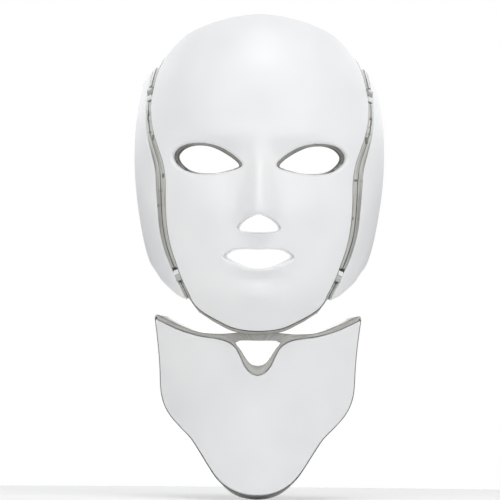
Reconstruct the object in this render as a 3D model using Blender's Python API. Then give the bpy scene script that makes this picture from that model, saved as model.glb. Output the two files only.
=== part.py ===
"""An LED light-therapy face mask with a separate neck shield, made from its real pieces.

The mask faces -Y, z is up and +X is the wearer's left. The origin is on the middle plane, level with the
wearer's eyes. Each half is a white shell over a clear liner, with LED boards in the space between them. Two
temple wings hang on the face by a pair of pin hinges each.
"""
import math

import bmesh
import bpy
import numpy as np
from mathutils import Matrix, Vector
from mathutils.geometry import delaunay_2d_cdt

for old in list(bpy.data.objects):
    bpy.data.objects.remove(old, do_unlink=True)

MM = 0.001

# ---------------------------------------------------------------- driving dimensions, in millimetres
SHELL = 2.0  # thickness of the white shells
RIM = 6.6  # depth of a shell's turned-in rim, below its outer surface
RIM_WIDE = 2.2
LINER_TOP = 7.0  # the liner lies this far below the outer surface
LINER_SKIN = 8.3
BOARD_TOP, BOARD_SKIN, LED_SKIN = 4.0, 4.8, 6.0
LED_PITCH, LED_SIDE = 19.0, 5.0
HINGE_DEPTH = 4.6  # the hinge line runs this far below the outer surface
HINGE_Z = (50.0, -90.0)
EAR_AWAY = 4.7  # from the middle of a lug to the middle of its ear
BARREL, PIN = 1.7, 0.65
SCREW_HEAD, SCREW_SHANK = 2.6, 1.1
NECK_ROUND = 100.0

# The head form: half width, depth from front to side, and how far the front stands out, each against height.
HALF_WIDTH_KNOTS = [(118, 52), (110, 62), (100, 71.5), (88, 80), (74, 88.3), (65.6, 92), (50, 96.2), (33.6, 99), (16, 100.4),
                    (0, 100.6), (-20, 99.5), (-38, 97.4), (-57, 94.2), (-71, 91.2), (-83, 87.8), (-96, 83), (-110, 76.5),
                    (-125, 68), (-140, 58)]
DEPTH_KNOTS = [(118, 60), (100, 76), (80, 86), (50, 93), (0, 95), (-50, 93), (-90, 86), (-120, 76), (-140, 68)]
FRONT_KNOTS = [(118, -25), (105, -12), (90, -2), (75, 5), (55, 10), (35, 12.3), (15, 12.5), (0, 11.5), (-30, 11),
               (-60, 11.5), (-90, 10.5), (-110, 8.5), (-125, 5), (-138, 0.5), (-150, -5)]
# The nose ridge, and the width of its flanks.
NOSE_RISE_KNOTS = [(-74, 0), (-66, 1.5), (-58, 6), (-52, 12), (-46, 18.5), (-41, 21.5), (-36, 21.3), (-25, 17.3), (-10, 11),
                   (4, 5.2), (15, 2.2), (30, 0)]
NOSE_WIDE_KNOTS = [(-74, 18), (-60, 16.5), (-50, 16), (-38, 14.5), (-25, 11.5), (-10, 9.5), (10, 9.5), (30, 14)]
# Soft bumps and hollows: centre, spread and height. Those off the middle are mirrored.
RELIEF_BELLS = [
    (30, 21, 26, 9, 2.6),  # brow
    (34, -1, 23, 13, -5.0),  # eye socket
    (22, -24, 9, 16, -1.8),  # beside the nose
    (47, -34, 22, 19, 3.2),  # cheekbone
    (44, -76, 17, 22, -2.6),  # below the cheek
    (0, -76, 25, 20, 4.5),  # mouth
    (0, -64, 9, 4.5, -1.5),  # below the nose
    (0, -95, 17, 5.5, -3.0),  # below the lip
    (0, -109, 18, 11, 4.5),  # chin
    (0, 52, 46, 30, 1.5),  # forehead
]
# The gap between the liners of the face and a wing: wide where their edges swing furthest from the hinge line.
STRIP_GAP_KNOTS = [(-115, 2.9), (-104, 2.2), (-90, 1.6), (-75, 1.8), (-55, 2.2), (-35, 2.6), (-15, 2.9), (0, 2.8), (20, 2.3),
                   (40, 1.6), (50, 1.6), (60, 2.0), (75, 2.9)]
NECK_FRONT_KNOTS = [(-120, -10), (-138, -9), (-170, -9), (-200, -7), (-230, -1), (-255, 6.5), (-270, 12)]

# Outlines on the +x side, as seen from the front: (x, z) from the middle line and back to it.
FACE_TOP = [(0, 117.6), (18, 115.9), (32.4, 112.6), (47.8, 106.9), (58, 101.6), (66, 94.6), (73, 86.8), (77.6, 79.8)]
FACE_STRIP = [(81, 73), (84.6, 61), (87.3, 47.6), (87.3, 34), (85.4, 22), (81, 8), (77.4, -3), (75.4, -16), (75.1, -36),
              (74, -52), (71, -68.5), (66.6, -82), (61.6, -95.5), (55.5, -108), (53, -113.5)]
FACE_CHIN = [(47.5, -119.8), (32.5, -128.8), (18, -135), (0, -136.9)]
WING_STRIP = [(86, 72.6), (88.9, 61), (91.2, 46), (91.6, 30), (90.6, 19), (87.5, 5.5), (84.3, -8), (83, -26), (82, -39),
              (79.9, -58), (76, -73), (70.6, -86.5), (66.2, -95.5), (61, -106), (58.2, -112)]
WING_REAR_LOW = [(64, -109.4), (70.5, -104.2), (78.3, -96.5), (82.4, -90.2)]
WING_REAR = [(1.44, -83), (1.52, -72), (1.585, -55), (1.61, -20), (1.61, 20), (1.59, 45), (1.53, 60), (1.43, 68)]
EYE_SHELL = [(68, 3.6), (64, 8.6), (57, 12.4), (47, 13.6), (31.8, 9), (21.2, 4), (14.1, -3.2), (16.2, -5.8), (25.8, -8.8),
             (37, -11.4), (43, -12), (50.8, -11), (60, -7), (65.6, -1)]
EYE_LINER = [(64.2, 2.4), (57.4, 8.2), (47, 10.6), (31.8, 5.8), (23, 0.6), (16.6, -4.8), (26.2, -8), (36.5, -10.3),
             (42, -10.8), (53.6, -8.6), (60.4, -3.8)]
NOSE_SHELL = [(0, -43), (7, -44.8), (13, -48.4), (17.3, -53.4), (16.8, -56.4), (13.5, -57.6), (7, -58.2), (0, -58.4)]
MOUTH_SHELL = [(0, -71.3), (11, -71), (20.7, -72), (26.5, -74.8), (28.6, -77.4), (25.4, -80.4), (17.4, -84), (9, -87), (0, -88)]
NECK_TOP = [(0, -172.8), (5.2, -171), (10.6, -165.2), (14, -158), (18.2, -150.4), (24, -146), (32, -143.6), (48, -141.3),
            (64, -136.6), (74.5, -132)]
NECK_SIDE = [(82.6, -128), (80.4, -145), (78.6, -164), (77.8, -181), (76.8, -189), (74.2, -197.5), (69.8, -205), (62.8, -213),
             (53, -223), (45.5, -234), (38.5, -245), (31.5, -254.5), (22.5, -262), (12, -266.4), (0, -267.8)]
NECK_LINER_TOP = [(0, -138.4), (12.4, -137.8), (20.8, -138.6), (32, -139.3), (48, -137.9), (64, -132.3), (75, -127.3)]
NECK_NOTCH = [(0, -144.6), (15.4, -144.6), (18, -145.8), (14, -151.4), (9.6, -158.2), (5.4, -163), (0, -164.6)]


# ---------------------------------------------------------------- surfaces
# All of the helpers below work in millimetres: x to the wearer's left, y towards the wearer's
# head, z up. The origin is on the skin side of the liner, between the eyes.


def spline(knots):
    """Natural cubic spline through (t, value) knots, straight past the ends."""
    t = np.array([k[0] for k in sorted(knots)], float)
    v = np.array([k[1] for k in sorted(knots)], float)
    n, h = len(t), np.diff(t)
    m = np.zeros((n, n))
    r = np.zeros(n)
    m[0, 0] = m[-1, -1] = 1.0
    for i in range(1, n - 1):
        m[i, i - 1], m[i, i], m[i, i + 1] = h[i - 1], 2 * (h[i - 1] + h[i]), h[i]
        r[i] = 6 * ((v[i + 1] - v[i]) / h[i] - (v[i] - v[i - 1]) / h[i - 1])
    c = np.linalg.solve(m, r)

    def f(x):
        if x <= t[0]:
            return float(v[0] + (x - t[0]) * ((v[1] - v[0]) / h[0] - h[0] * c[1] / 6))
        if x >= t[-1]:
            return float(v[-1] + (x - t[-1]) * ((v[-1] - v[-2]) / h[-1] + h[-1] * c[-2] / 6))
        i = int(np.searchsorted(t, x)) - 1
        p, q = t[i + 1] - x, x - t[i]
        return float(
            (c[i] * p**3 + c[i + 1] * q**3) / (6 * h[i])
            + (v[i] / h[i] - c[i] * h[i] / 6) * p
            + (v[i + 1] / h[i] - c[i + 1] * h[i] / 6) * q
        )

    return f


HALF_WIDTH = spline(HALF_WIDTH_KNOTS)
FRONT = spline(FRONT_KNOTS)
DEPTH = spline(DEPTH_KNOTS)
NOSE_RISE = spline(NOSE_RISE_KNOTS)
NOSE_WIDE = spline(NOSE_WIDE_KNOTS)
NECK_FRONT = spline(NECK_FRONT_KNOTS)
STRIP_GAP = spline(STRIP_GAP_KNOTS)


def bell(x, z, cx, cz, wx, wz):
    return math.exp(-(((x - cx) / wx) ** 2) - ((z - cz) / wz) ** 2)


def relief(x, z):
    """How far the face's features stand forward of the smooth head form."""
    ax = abs(x)
    rise = 0.0
    if NOSE_RISE_KNOTS[0][0] < z < NOSE_RISE_KNOTS[-1][0]:
        w = NOSE_WIDE(z)
        rise = NOSE_RISE(z) / (1 + (ax / w) ** 2.6) ** 1.7
    for cx, cz, wx, wz, height in RELIEF_BELLS:
        rise += height * (bell(ax, z, cx, cz, wx, wz) + (bell(-ax, z, cx, cz, wx, wz) if cx else 0.0))
    return rise


def head(s, z, d, features=True):
    """A point of the face or a wing: s along the skin from the middle, z up, d outwards from the outer surface."""
    a, b = HALF_WIDTH(z), DEPTH(z)
    p = s / a
    x, y = a * math.sin(p), b * (1 - math.cos(p)) - FRONT(z)
    e = 0.5
    az, bz, fz = HALF_WIDTH(z + e) - a, DEPTH(z + e) - b, FRONT(z + e) - FRONT(z)
    tp = Vector((a * math.cos(p), b * math.sin(p), 0))
    tz = Vector((az * math.sin(p), bz * (1 - math.cos(p)) - fz, e))
    n = tp.cross(tz).normalized()
    if features and abs(p) < 1.2:
        y -= relief(x, z)
    return Vector((x, y, z)) + n * d, n


def neck(s, z, d, features=True):
    """A point of the neck shield, in the same way."""
    p = s / NECK_ROUND
    x, y = NECK_ROUND * math.sin(p), NECK_ROUND * (1 - math.cos(p)) - NECK_FRONT(z)
    e = 0.5
    fz = NECK_FRONT(z + e) - NECK_FRONT(z)
    n = Vector((math.cos(p), math.sin(p), 0)).cross(Vector((0, -fz, e))).normalized()
    return Vector((x, y, z)) + n * d, n


def along(x, z):
    """The s of a point seen at x from the front of the face."""
    return HALF_WIDTH(z) * math.asin(max(-1.0, min(1.0, x / HALF_WIDTH(z))))


def neck_along(x, z):
    return NECK_ROUND * math.asin(max(-1.0, min(1.0, x / NECK_ROUND)))


# ---------------------------------------------------------------- outlines
def smooth_loop(points, step, sharp=()):
    """A closed curve through the points, sampled every step or so. Points named in sharp keep their corner."""
    n = len(points)
    p = [Vector(q) for q in points]
    out = []
    for i in range(n):
        p0, p1, p2, p3 = p[i - 1], p[i], p[(i + 1) % n], p[(i + 2) % n]
        m1 = (p2 - p0) * 0.5 if i not in sharp else (p2 - p1) * 0.5
        m2 = (p3 - p1) * 0.5 if (i + 1) % n not in sharp else (p2 - p1) * 0.5
        # centripetal-like scaling keeps short spans next to long ones from looping
        length = (p2 - p1).length
        m1 = m1.normalized() * length
        m2 = m2.normalized() * length
        k = max(1, int(round(length / step)))
        for j in range(k):
            t = j / k
            out.append(
                p1 * (2 * t**3 - 3 * t**2 + 1)
                + m1 * (t**3 - 2 * t**2 + t)
                + p2 * (-2 * t**3 + 3 * t**2)
                + m2 * (t**3 - t**2)
            )
    return [(q.x, q.y) for q in out]


def mirrored(half):
    """A loop from its +x half: the first and last points lie on the middle line."""
    return list(half) + [(-x, z) for x, z in reversed(half[1:-1])]


def area(loop):
    return 0.5 * sum(
        loop[i - 1][0] * loop[i][1] - loop[i][0] * loop[i - 1][1] for i in range(len(loop))
    )


def gap_to(x, z, loop):
    """The distance from a point to a closed loop."""
    a = np.array(loop, float)
    b = np.roll(a, -1, axis=0)
    d = b - a
    q = np.array([x, z]) - a
    t = np.clip((q * d).sum(1) / np.maximum((d * d).sum(1), 1e-12), 0, 1)
    return float(np.sqrt(((q - d * t[:, None]) ** 2).sum(1)).min())


def offset(loop, by):
    """The loop moved outwards by a distance (inwards if less than 0), without the knots that corners would tie."""
    sign = 1 if area(loop) > 0 else -1
    out = []
    n = len(loop)
    for i in range(n):
        ax, az = loop[i - 1]
        bx, bz = loop[(i + 1) % n]
        tx, tz = bx - ax, bz - az
        k = math.hypot(tx, tz) or 1.0
        q = (loop[i][0] + sign * tz / k * by, loop[i][1] - sign * tx / k * by)
        if gap_to(*q, loop) > 0.8 * abs(by):
            out.append(q)
    return out


def inside(x, z, loop):
    hit = False
    x1, z1 = loop[-1]
    for x2, z2 in loop:
        if (z1 > z) != (z2 > z) and x < (x2 - x1) * (z - z1) / (z2 - z1) + x1:
            hit = not hit
        x1, z1 = x2, z2
    return hit


def circle(cx, cz, r, n=12):
    return [(cx + r * math.cos(2 * math.pi * i / n), cz + r * math.sin(2 * math.pi * i / n)) for i in range(n)]


def clear_of(x, z, arrays, far):
    """True where a point is further than far from every loop. Loops are numpy arrays."""
    for arr in arrays:
        if ((arr[:, 0] - x) ** 2 + (arr[:, 1] - z) ** 2).min() < far * far:
            return False
    return True


# ---------------------------------------------------------------- plates
def plate_faces(surface, outer, holes, grid, top, bottom, top_zones=(), bottom_zones=(), keep=0.62, seeds=()):
    """The closed skin of a curved plate, as (points, faces).

    seeds are points that the surface passes through, where it bends too tightly for the grid.

    outer and holes are loops in (s, z). top and bottom are levels along the outward normal. A zone is
    (loop, level), and raises or sinks the top or bottom inside its loop, with a wall along the loop. A level is a
    number, or a function of s, z and the index of the loop that the point lies on (-1 away from loops).
    Loops are counted: outer is 0, then the holes, then the top zones and the bottom zones."""
    loops = [outer, *holes, *[zone[0] for zone in top_zones], *[zone[0] for zone in bottom_zones]]
    coords, edges, source = [], [], []
    for number, loop in enumerate(loops):
        first = len(coords)
        for q in loop:
            coords.append(Vector((float(q[0]), float(q[1]))))
            source.append(number)
        edges += [(first + i, first + (i + 1) % len(loop)) for i in range(len(loop))]
    arrays = [np.array(loop, float) for loop in loops]
    xs, zs = [q[0] for q in outer], [q[1] for q in outer]
    placed = []
    for x, z in seeds:
        if inside(x, z, outer) and not any(inside(x, z, h) for h in holes) and clear_of(x, z, arrays, 2.0):
            coords.append(Vector((x, z)))
            source.append(-1)
            placed.append((x, z))
    if placed:
        arrays.append(np.array(placed, float))
    row, z = 0, min(zs) + grid * 0.4
    while z < max(zs):
        x = min(xs) + (0.5 if row % 2 else 0.0) * grid
        while x < max(xs):
            if inside(x, z, outer) and not any(inside(x, z, h) for h in holes):
                if clear_of(x, z, arrays, grid * keep):
                    coords.append(Vector((x, z)))
                    source.append(-1)
            x += grid
        z += grid * 0.866
        row += 1
    verts, _, tris, origin, _, _ = delaunay_2d_cdt(coords, edges, [], 0, 1e-5, True)
    at = [(v.x, v.y) for v in verts]
    tag = []
    for ids in origin:
        found = [source[i] for i in ids]
        tag.append(found[0] if found else -2)
    kept = []
    for tri in tris:
        cx = sum(at[i][0] for i in tri) / 3
        cz = sum(at[i][1] for i in tri) / 3
        if not inside(cx, cz, outer) or any(inside(cx, cz, h) for h in holes):
            continue
        twice = (at[tri[1]][0] - at[tri[0]][0]) * (at[tri[2]][1] - at[tri[0]][1]) - (
            at[tri[2]][0] - at[tri[0]][0]
        ) * (at[tri[1]][1] - at[tri[0]][1])
        if abs(twice) < 1e-7:
            continue
        if twice < 0:
            tri = (tri[0], tri[2], tri[1])
        up = next((k for k in reversed(range(len(top_zones))) if inside(cx, cz, top_zones[k][0])), -1)
        down = next((k for k in reversed(range(len(bottom_zones))) if inside(cx, cz, bottom_zones[k][0])), -1)
        kept.append((tuple(tri), up, down))

    def level(which, zone, i):
        if which == "top":
            want = top_zones[zone][1] if zone >= 0 else top
        else:
            want = bottom_zones[zone][1] if zone >= 0 else bottom
        return float(want(at[i][0], at[i][1], tag[i])) if callable(want) else float(want)

    points, index, column = [], {}, {}

    def copy(i, height):
        key = (i, round(height, 4))
        if key not in index:
            index[key] = len(points)
            points.append(surface(at[i][0], at[i][1], height)[0])
            column.setdefault(i, []).append(round(height, 4))
        return index[key]

    faces, sides = [], {}
    for tri, up, down in kept:
        upper = [(i, level("top", up, i)) for i in tri]
        lower = [(i, level("bottom", down, i)) for i in tri]
        faces.append([copy(*q) for q in upper])
        faces.append([copy(*q) for q in reversed(lower)])
        for k in range(3):
            i, j = tri[k], tri[(k + 1) % 3]
            sides[(i, j)] = (upper[k][1], upper[(k + 1) % 3][1], lower[k][1], lower[(k + 1) % 3][1])

    def climb(i, start, end):
        """The copies of point i from one height to another, those between them included."""
        lo, hi = sorted((round(start, 4), round(end, 4)))
        between = sorted(h for h in set(column[i]) if lo <= h <= hi)
        if start > end:
            between.reverse()
        return [index[(i, h)] for h in between]

    def wall(i, j, a_i, a_j, b_i, b_j):
        """A face over edge i to j, from the heights a up to the heights b."""
        ring = climb(j, b_j, a_j) + climb(i, a_i, b_i)
        clean = [v for k, v in enumerate(ring) if v != ring[k - 1]]
        if len(clean) > 2:
            faces.append(clean)

    done = set()
    for (i, j), (ti, tj, bi, bj) in sides.items():
        if (j, i) not in sides:
            wall(i, j, bi, bj, ti, tj)
            continue
        if (j, i) in done:
            continue
        done.add((i, j))
        uj, ui, dj, di = sides[(j, i)]
        if round(ti, 4) != round(ui, 4) or round(tj, 4) != round(uj, 4):
            wall(i, j, ui, uj, ti, tj)
        if round(bi, 4) != round(di, 4) or round(bj, 4) != round(dj, 4):
            wall(i, j, bi, bj, di, dj)
    return points, faces


def mesh_object(name, points, faces, material=None, sharp_deg=35.0):
    """A Blender object from points in millimetres."""
    mesh = bpy.data.meshes.new(name)
    mesh.from_pydata([p * MM for p in points], [], faces)
    mesh.validate()
    bm = bmesh.new()
    bm.from_mesh(mesh)
    bmesh.ops.recalc_face_normals(bm, faces=bm.faces)
    bm.to_mesh(mesh)
    bm.free()
    mesh.shade_smooth()
    mesh.set_sharp_from_angle(angle=math.radians(sharp_deg))
    obj = bpy.data.objects.new(name, mesh)
    bpy.context.scene.collection.objects.link(obj)
    if material:
        mesh.materials.append(material)
    return obj


# ---------------------------------------------------------------- materials
def finish(name, colour, roughness, metallic=0.0, alpha=1.0):
    mat = bpy.data.materials.new(name)
    mat.use_nodes = True
    bsdf = mat.node_tree.nodes["Principled BSDF"]
    bsdf.inputs["Base Color"].default_value = (*colour, 1.0)
    bsdf.inputs["Roughness"].default_value = roughness
    bsdf.inputs["Metallic"].default_value = metallic
    bsdf.inputs["Alpha"].default_value = alpha
    return mat


WHITE = ((0.86, 0.87, 0.88), 0.28)
CLEAR = ((0.62, 0.62, 0.60), 0.12)
BOARD = ((0.9, 0.9, 0.86), 0.5)
STEEL = ((0.6, 0.61, 0.62), 0.3, 1.0)
DARK = ((0.03, 0.03, 0.035), 0.45)


# ---------------------------------------------------------------- outlines in (s, z)
def to_s(points, measure=along):
    return [(measure(x, z), z) for x, z in points]


def widen(points, way):
    """The strip's middle line moved to one edge of the gap there."""
    return [(s + way * STRIP_GAP(z) / 2, z) for s, z in points]


FACE_HALF = to_s(FACE_TOP) + to_s(FACE_STRIP) + to_s(FACE_CHIN)
FACE_LOOP = mirrored(FACE_HALF)
STRIP_FACE, STRIP_WING = spline([(z, s) for s, z in to_s(FACE_STRIP)]), spline([(z, s) for s, z in to_s(WING_STRIP)])


def strip_mid(z):
    """The middle of the clear strip between the face and a wing."""
    return 0.5 * (STRIP_FACE(z) + STRIP_WING(z))


MID = [(strip_mid(z), z) for z in (73, 61, 47, 33, 20, 8, -4, -17, -30, -45, -60, -74, -86, -96, -106, -113)]
LINER_HALF = (
    [(s, z - 0.4) for s, z in to_s(FACE_TOP[:-1])]
    + widen(MID, -1)
    + [(s + 1.0, z - 2.6) for s, z in to_s(FACE_CHIN[:2])]
    + [(along(18, -135) + 0.6, -138.0), (0, -139.9)]
)
WING_LOOP = (
    list(reversed(to_s(WING_STRIP)))
    + [(HALF_WIDTH(z) * p, z) for p, z in reversed(WING_REAR)]
    + list(reversed(to_s(WING_REAR_LOW)))
)
WING_LINER_LOOP = (
    list(reversed(widen(MID, 1)))
    + [(HALF_WIDTH(z) * p - 0.4, z) for p, z in reversed(WING_REAR)]
    + [(s - 0.3, z + 0.3) for s, z in reversed(to_s(WING_REAR_LOW))]
)
NECK_LOOP = mirrored(to_s(list(reversed(NECK_SIDE)) + list(reversed(NECK_TOP)), neck_along))
NECK_LINER_SIDE = [(x + 1.0, z) for x, z in NECK_SIDE[:-4]] + [(x + 0.5, z - 0.9) for x, z in NECK_SIDE[-4:-1]] + [(0, -268.7)]
NECK_LINER_LOOP = mirrored(
    to_s(list(reversed(NECK_LINER_SIDE)) + [(83.8, -125.2), (81, -124.4)] + list(reversed(NECK_LINER_TOP)), neck_along)
)
EYE_SHELL_LOOP = smooth_loop(to_s(EYE_SHELL), 5.0)
EYE_LINER_LOOP = smooth_loop(to_s(EYE_LINER), 5.0)
NOSE_LOOP = smooth_loop(mirrored(to_s(NOSE_SHELL)), 5.0)
MOUTH_LOOP = smooth_loop(mirrored(to_s(MOUTH_SHELL)), 6.0)
NOTCH_LOOP = smooth_loop(mirrored(to_s(NECK_NOTCH, neck_along)), 6.0)


WINDOW_Z = (24.5, 35.5)  # a slot in each wing's liner beside the strip


# points that carry the nose ridge and the brows
NOSE_SEEDS = [(s, z) for z in (-38, -31, -24, -17, -9, -1, 8) for s in (-18, -11.5, -5.5, 0, 5.5, 11.5, 18)]


def flip(loop):
    return [(-s, z) for s, z in reversed(loop)]


# ---------------------------------------------------------------- fasteners
FACE_SCREWS = {
    "left_forehead_screw": (38, 92), "right_forehead_screw": (-38, 92),
    "left_temple_screw": (80, 28), "right_temple_screw": (-80, 28),
    "left_jaw_screw": (56, -92), "right_jaw_screw": (-56, -92),
}
WING_SCREWS = {"upper_wing_screw": (strip_mid(44) + 28, 44), "lower_wing_screw": (strip_mid(-66) + 22, -66)}
NECK_SCREWS = {
    "left_collar_screw": (68, -144), "right_collar_screw": (-68, -144),
    "left_chest_screw": (30, -238), "right_chest_screw": (-30, -238),
}


def bosses(spots):
    """Screw posts under a shell, each with its pilot hole."""
    zones = []
    for s, z in spots:
        zones.append((circle(s, z, 3.4, 8), -RIM))
        zones.append((circle(s, z, 1.5, 8), -2.6))
    return zones


def leds(surface_ok, outline, pitch=LED_PITCH):
    """Where the LEDs sit: rows a pitch apart, well inside a board's outline."""
    edge = np.array(outline, float)
    top, low = max(q[1] for q in outline), min(q[1] for q in outline)
    left, right = min(q[0] for q in outline), max(q[0] for q in outline)
    middle = 0.5 * (left + right)
    spots, row, z = [], 0, 0.5 * (top + low) - pitch * math.floor(0.5 * (top - low) / pitch)
    while z < top:
        count = int((right - left) / pitch) + 2
        for k in range(-count, count + 1):
            s = middle + (k + (0.5 if row % 2 else 0.0)) * pitch
            if inside(s, z, outline) and clear_of(s, z, [edge], LED_SIDE * 0.5 + 3.4) and surface_ok(s, z):
                spots.append((s, z))
        row += 1
        z += pitch
    return spots


def board(name, surface, control, grid=14.0, seeds=(), step=11.0):
    """An LED board: a thin flexible sheet that follows the shell, with its LEDs proud on the skin side."""
    loop = smooth_loop(control, step)
    h = LED_SIDE / 2
    zones = [([(s - h, z - h), (s + h, z - h), (s + h, z + h), (s - h, z + h)], -LED_SKIN) for s, z in leds(lambda s, z: True, loop)]
    points, faces = plate_faces(surface, loop, [], grid, -BOARD_TOP, -BOARD_SKIN, bottom_zones=zones, seeds=seeds)
    return mesh_object(name, points, faces, finish(name, *BOARD))


def turned(name, origin, axis, profile, material, sides=10):
    """A round piece: its profile is (radius, height) pairs from the foot of the axis to its top."""
    axis = axis.normalized()
    u = axis.orthogonal().normalized()
    v = axis.cross(u)
    points, faces = [], []
    for r, h in profile:
        for k in range(sides):
            t = 2 * math.pi * k / sides
            points.append(origin + axis * h + (u * math.cos(t) + v * math.sin(t)) * r)
    for i in range(len(profile) - 1):
        for k in range(sides):
            n = (k + 1) % sides
            faces.append([i * sides + k, i * sides + n, (i + 1) * sides + n, (i + 1) * sides + k])
    faces.append([k for k in reversed(range(sides))])
    faces.append([(len(profile) - 1) * sides + k for k in range(sides)])
    return mesh_object(name, points, faces, material)


def screw(name, surface, s, z):
    foot, normal = surface(s, z, -LINER_SKIN)
    profile = [(SCREW_HEAD - 0.5, -1.5), (SCREW_HEAD, -1.0), (SCREW_HEAD, -0.3), (SCREW_SHANK, -0.3), (SCREW_SHANK, LINER_SKIN - 3.2)]
    return turned(name, foot, normal, profile, finish(name, *STEEL))


# ---------------------------------------------------------------- face
def face_shell():
    outer = smooth_loop(FACE_LOOP, 9.0)
    eye, eye2 = EYE_SHELL_LOOP, flip(EYE_SHELL_LOOP)
    zones = [
        (offset(outer, -RIM_WIDE), -SHELL),
        (offset(eye, RIM_WIDE), -RIM), (offset(eye2, RIM_WIDE), -RIM),
        (offset(NOSE_LOOP, RIM_WIDE), -RIM), (offset(MOUTH_LOOP, RIM_WIDE), -RIM),
    ]
    points, faces = plate_faces(
        head, outer, [eye, eye2, NOSE_LOOP, MOUTH_LOOP], 9.5, 0.0, -RIM, bottom_zones=zones + bosses(FACE_SCREWS.values()),
        seeds=NOSE_SEEDS,
    )
    return mesh_object("face_shell", points, faces, finish("face_shell", *WHITE), 40)


def face_liner():
    outer = smooth_loop(mirrored(LINER_HALF), 9.0)
    eye, eye2 = EYE_LINER_LOOP, flip(EYE_LINER_LOOP)
    holes = [eye, eye2, offset(NOSE_LOOP, -0.8), offset(MOUTH_LOOP, -0.8)]
    holes += [circle(s, z, 1.6, 8) for s, z in FACE_SCREWS.values()]
    # the liner bends along the same lines as the shell's rims do, so that the two stay parallel
    lines = []
    for loop in (EYE_SHELL_LOOP, flip(EYE_SHELL_LOOP), NOSE_LOOP, MOUTH_LOOP):
        lines.append((offset(loop, RIM_WIDE), -LINER_TOP))
    for loop in (EYE_SHELL_LOOP, flip(EYE_SHELL_LOOP)):
        lines.append((loop, -LINER_TOP))
    points, faces = plate_faces(head, outer, holes, 11.0, -LINER_TOP, -LINER_SKIN, top_zones=lines, seeds=NOSE_SEEDS)
    return mesh_object("face_liner", points, faces, finish("face_liner", *CLEAR), 40)


# ---------------------------------------------------------------- hinges
def hinge_line(side):
    """Foot and direction of a wing's hinge line, and the way along the skin to the rear."""
    top = head(strip_mid(HINGE_Z[0]), HINGE_Z[0], -HINGE_DEPTH)[0]
    low = head(strip_mid(HINGE_Z[1]) - 0.7, HINGE_Z[1], -HINGE_DEPTH)[0]
    if side < 0:
        top.x, low.x = -top.x, -low.x
    return top, low, (top - low).normalized()


def hinge_frame(side, z):
    """The hinge line's point at a height, and the three directions there: along, rearwards and outwards."""
    top, low, up = hinge_line(side)
    point = low + (top - low) * ((z - low.z) / (top.z - low.z))
    normal = head(strip_mid(z), z, 0)[1]
    if side < 0:
        normal.x = -normal.x
    out = (normal - up * normal.dot(up)).normalized()
    rear = up.cross(out)
    if rear.y < 0:
        rear = -rear
    return point, up, rear, out


def eye_profile(reach):
    """A round eye about the pin with an arm that reaches forwards (less than 0) or rearwards."""
    way = 1 if reach > 0 else -1
    loop = [(way * BARREL * math.cos(t), BARREL * math.sin(t)) for t in [math.radians(d) for d in range(50, 311, 26)]]
    return [(abs(reach) * way, -1.5), (abs(reach) * way, 1.5), *loop]


def lug_profile(reach):
    """A flat link with round ends that crosses the whole strip, with the pin through its middle."""
    end = reach - BARREL
    right = [(end + BARREL * math.cos(t), BARREL * math.sin(t)) for t in [math.radians(d) for d in range(-90, 91, 30)]]
    return right + [(-u, -v) for u, v in right]


def knuckle(name, side, z, loop, low, high, look):
    point, up, rear, out = hinge_frame(side, z)
    surface = lambda u, v, w: (point + rear * u + out * v + up * w, out)
    points, faces = plate_faces(surface, loop, [circle(0, 0, PIN + 0.3, 12)], 30.0, high, low)
    return mesh_object(name, points, faces, finish(name, *look), 30)


# ---------------------------------------------------------------- assembly
def sided(side, loop):
    return loop if side > 0 else flip(loop)


empties = {}


def empty_at(name, location):
    obj = bpy.data.objects.new(name, None)
    obj.location = location * MM
    bpy.context.scene.collection.objects.link(obj)
    empties[name] = obj
    return obj


def hang(obj, parent):
    obj.parent = parent
    obj.matrix_parent_inverse = Matrix.Translation(-parent.location)
    return obj


def make_cutter(name, points, faces, target):
    obj = mesh_object(name, points, faces)
    obj.hide_render = True
    obj.display_type = "WIRE"
    cut = target.modifiers.new(name, "BOOLEAN")
    cut.operation = "DIFFERENCE"
    cut.solver = "EXACT"
    cut.object = obj
    return obj


def block(origin, ex, ey, ez, lo, hi):
    """Corners and faces of a box in its own directions."""
    points = [
        origin + ex * (hi[0] if i & 1 else lo[0]) + ey * (hi[1] if i & 2 else lo[1]) + ez * (hi[2] if i & 4 else lo[2])
        for i in range(8)
    ]
    faces = [[0, 2, 3, 1], [4, 5, 7, 6], [0, 1, 5, 4], [2, 6, 7, 3], [0, 4, 6, 2], [1, 3, 7, 5]]
    return points, faces


JACK_Z = 4.0
JACK_HALF = (5.0, 1.4)  # half its height and half its thickness
JACK_DEPTH = 4.2  # its middle lies this far below the shell's outer surface
JACK_OUT, JACK_IN = 1.2, 6.0  # how far it stands behind the rim, and how far it goes in
JACK_SLOT = (3.0, 0.75)  # half the height and half the width of its socket


def jack(name, surface, s, z, target):
    """A flat socket in a dark block, let into a rim: the block's outer face is flat, with a blind slot in it."""
    a = surface(s, z, -JACK_DEPTH)[0]
    b = surface(s - 1.0, z, -JACK_DEPTH)[0]
    way = (a - b).normalized()
    up = Vector((0, 0, 1))
    thick = way.cross(up).normalized()
    up = thick.cross(way)
    p, q = JACK_SLOT
    ring = [(-p, -q * 0.5), (-p + 0.4, -q), (p - 0.4, -q), (p, -q * 0.5), (p, q * 0.5), (p - 0.4, q), (-p + 0.4, q), (-p, q * 0.5)]
    h, t = JACK_HALF
    loop = [(-h, -t), (h, -t), (h, t), (-h, t)]
    place = lambda u, v, w: (a + up * u + thick * v + way * w, way)
    points, faces = plate_faces(place, loop, [], 30.0, JACK_OUT, -JACK_IN, top_zones=[(ring, -JACK_IN + 1.5)])
    obj = mesh_object(name, points, faces, finish(name, *DARK), 30)
    g = 0.3
    make_cutter(name + "_cut", *block(a, up, thick, way, (-h - g, -t - g, -JACK_IN - 1.0), (h + g, t + g, 3.4)), target)
    return obj


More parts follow.
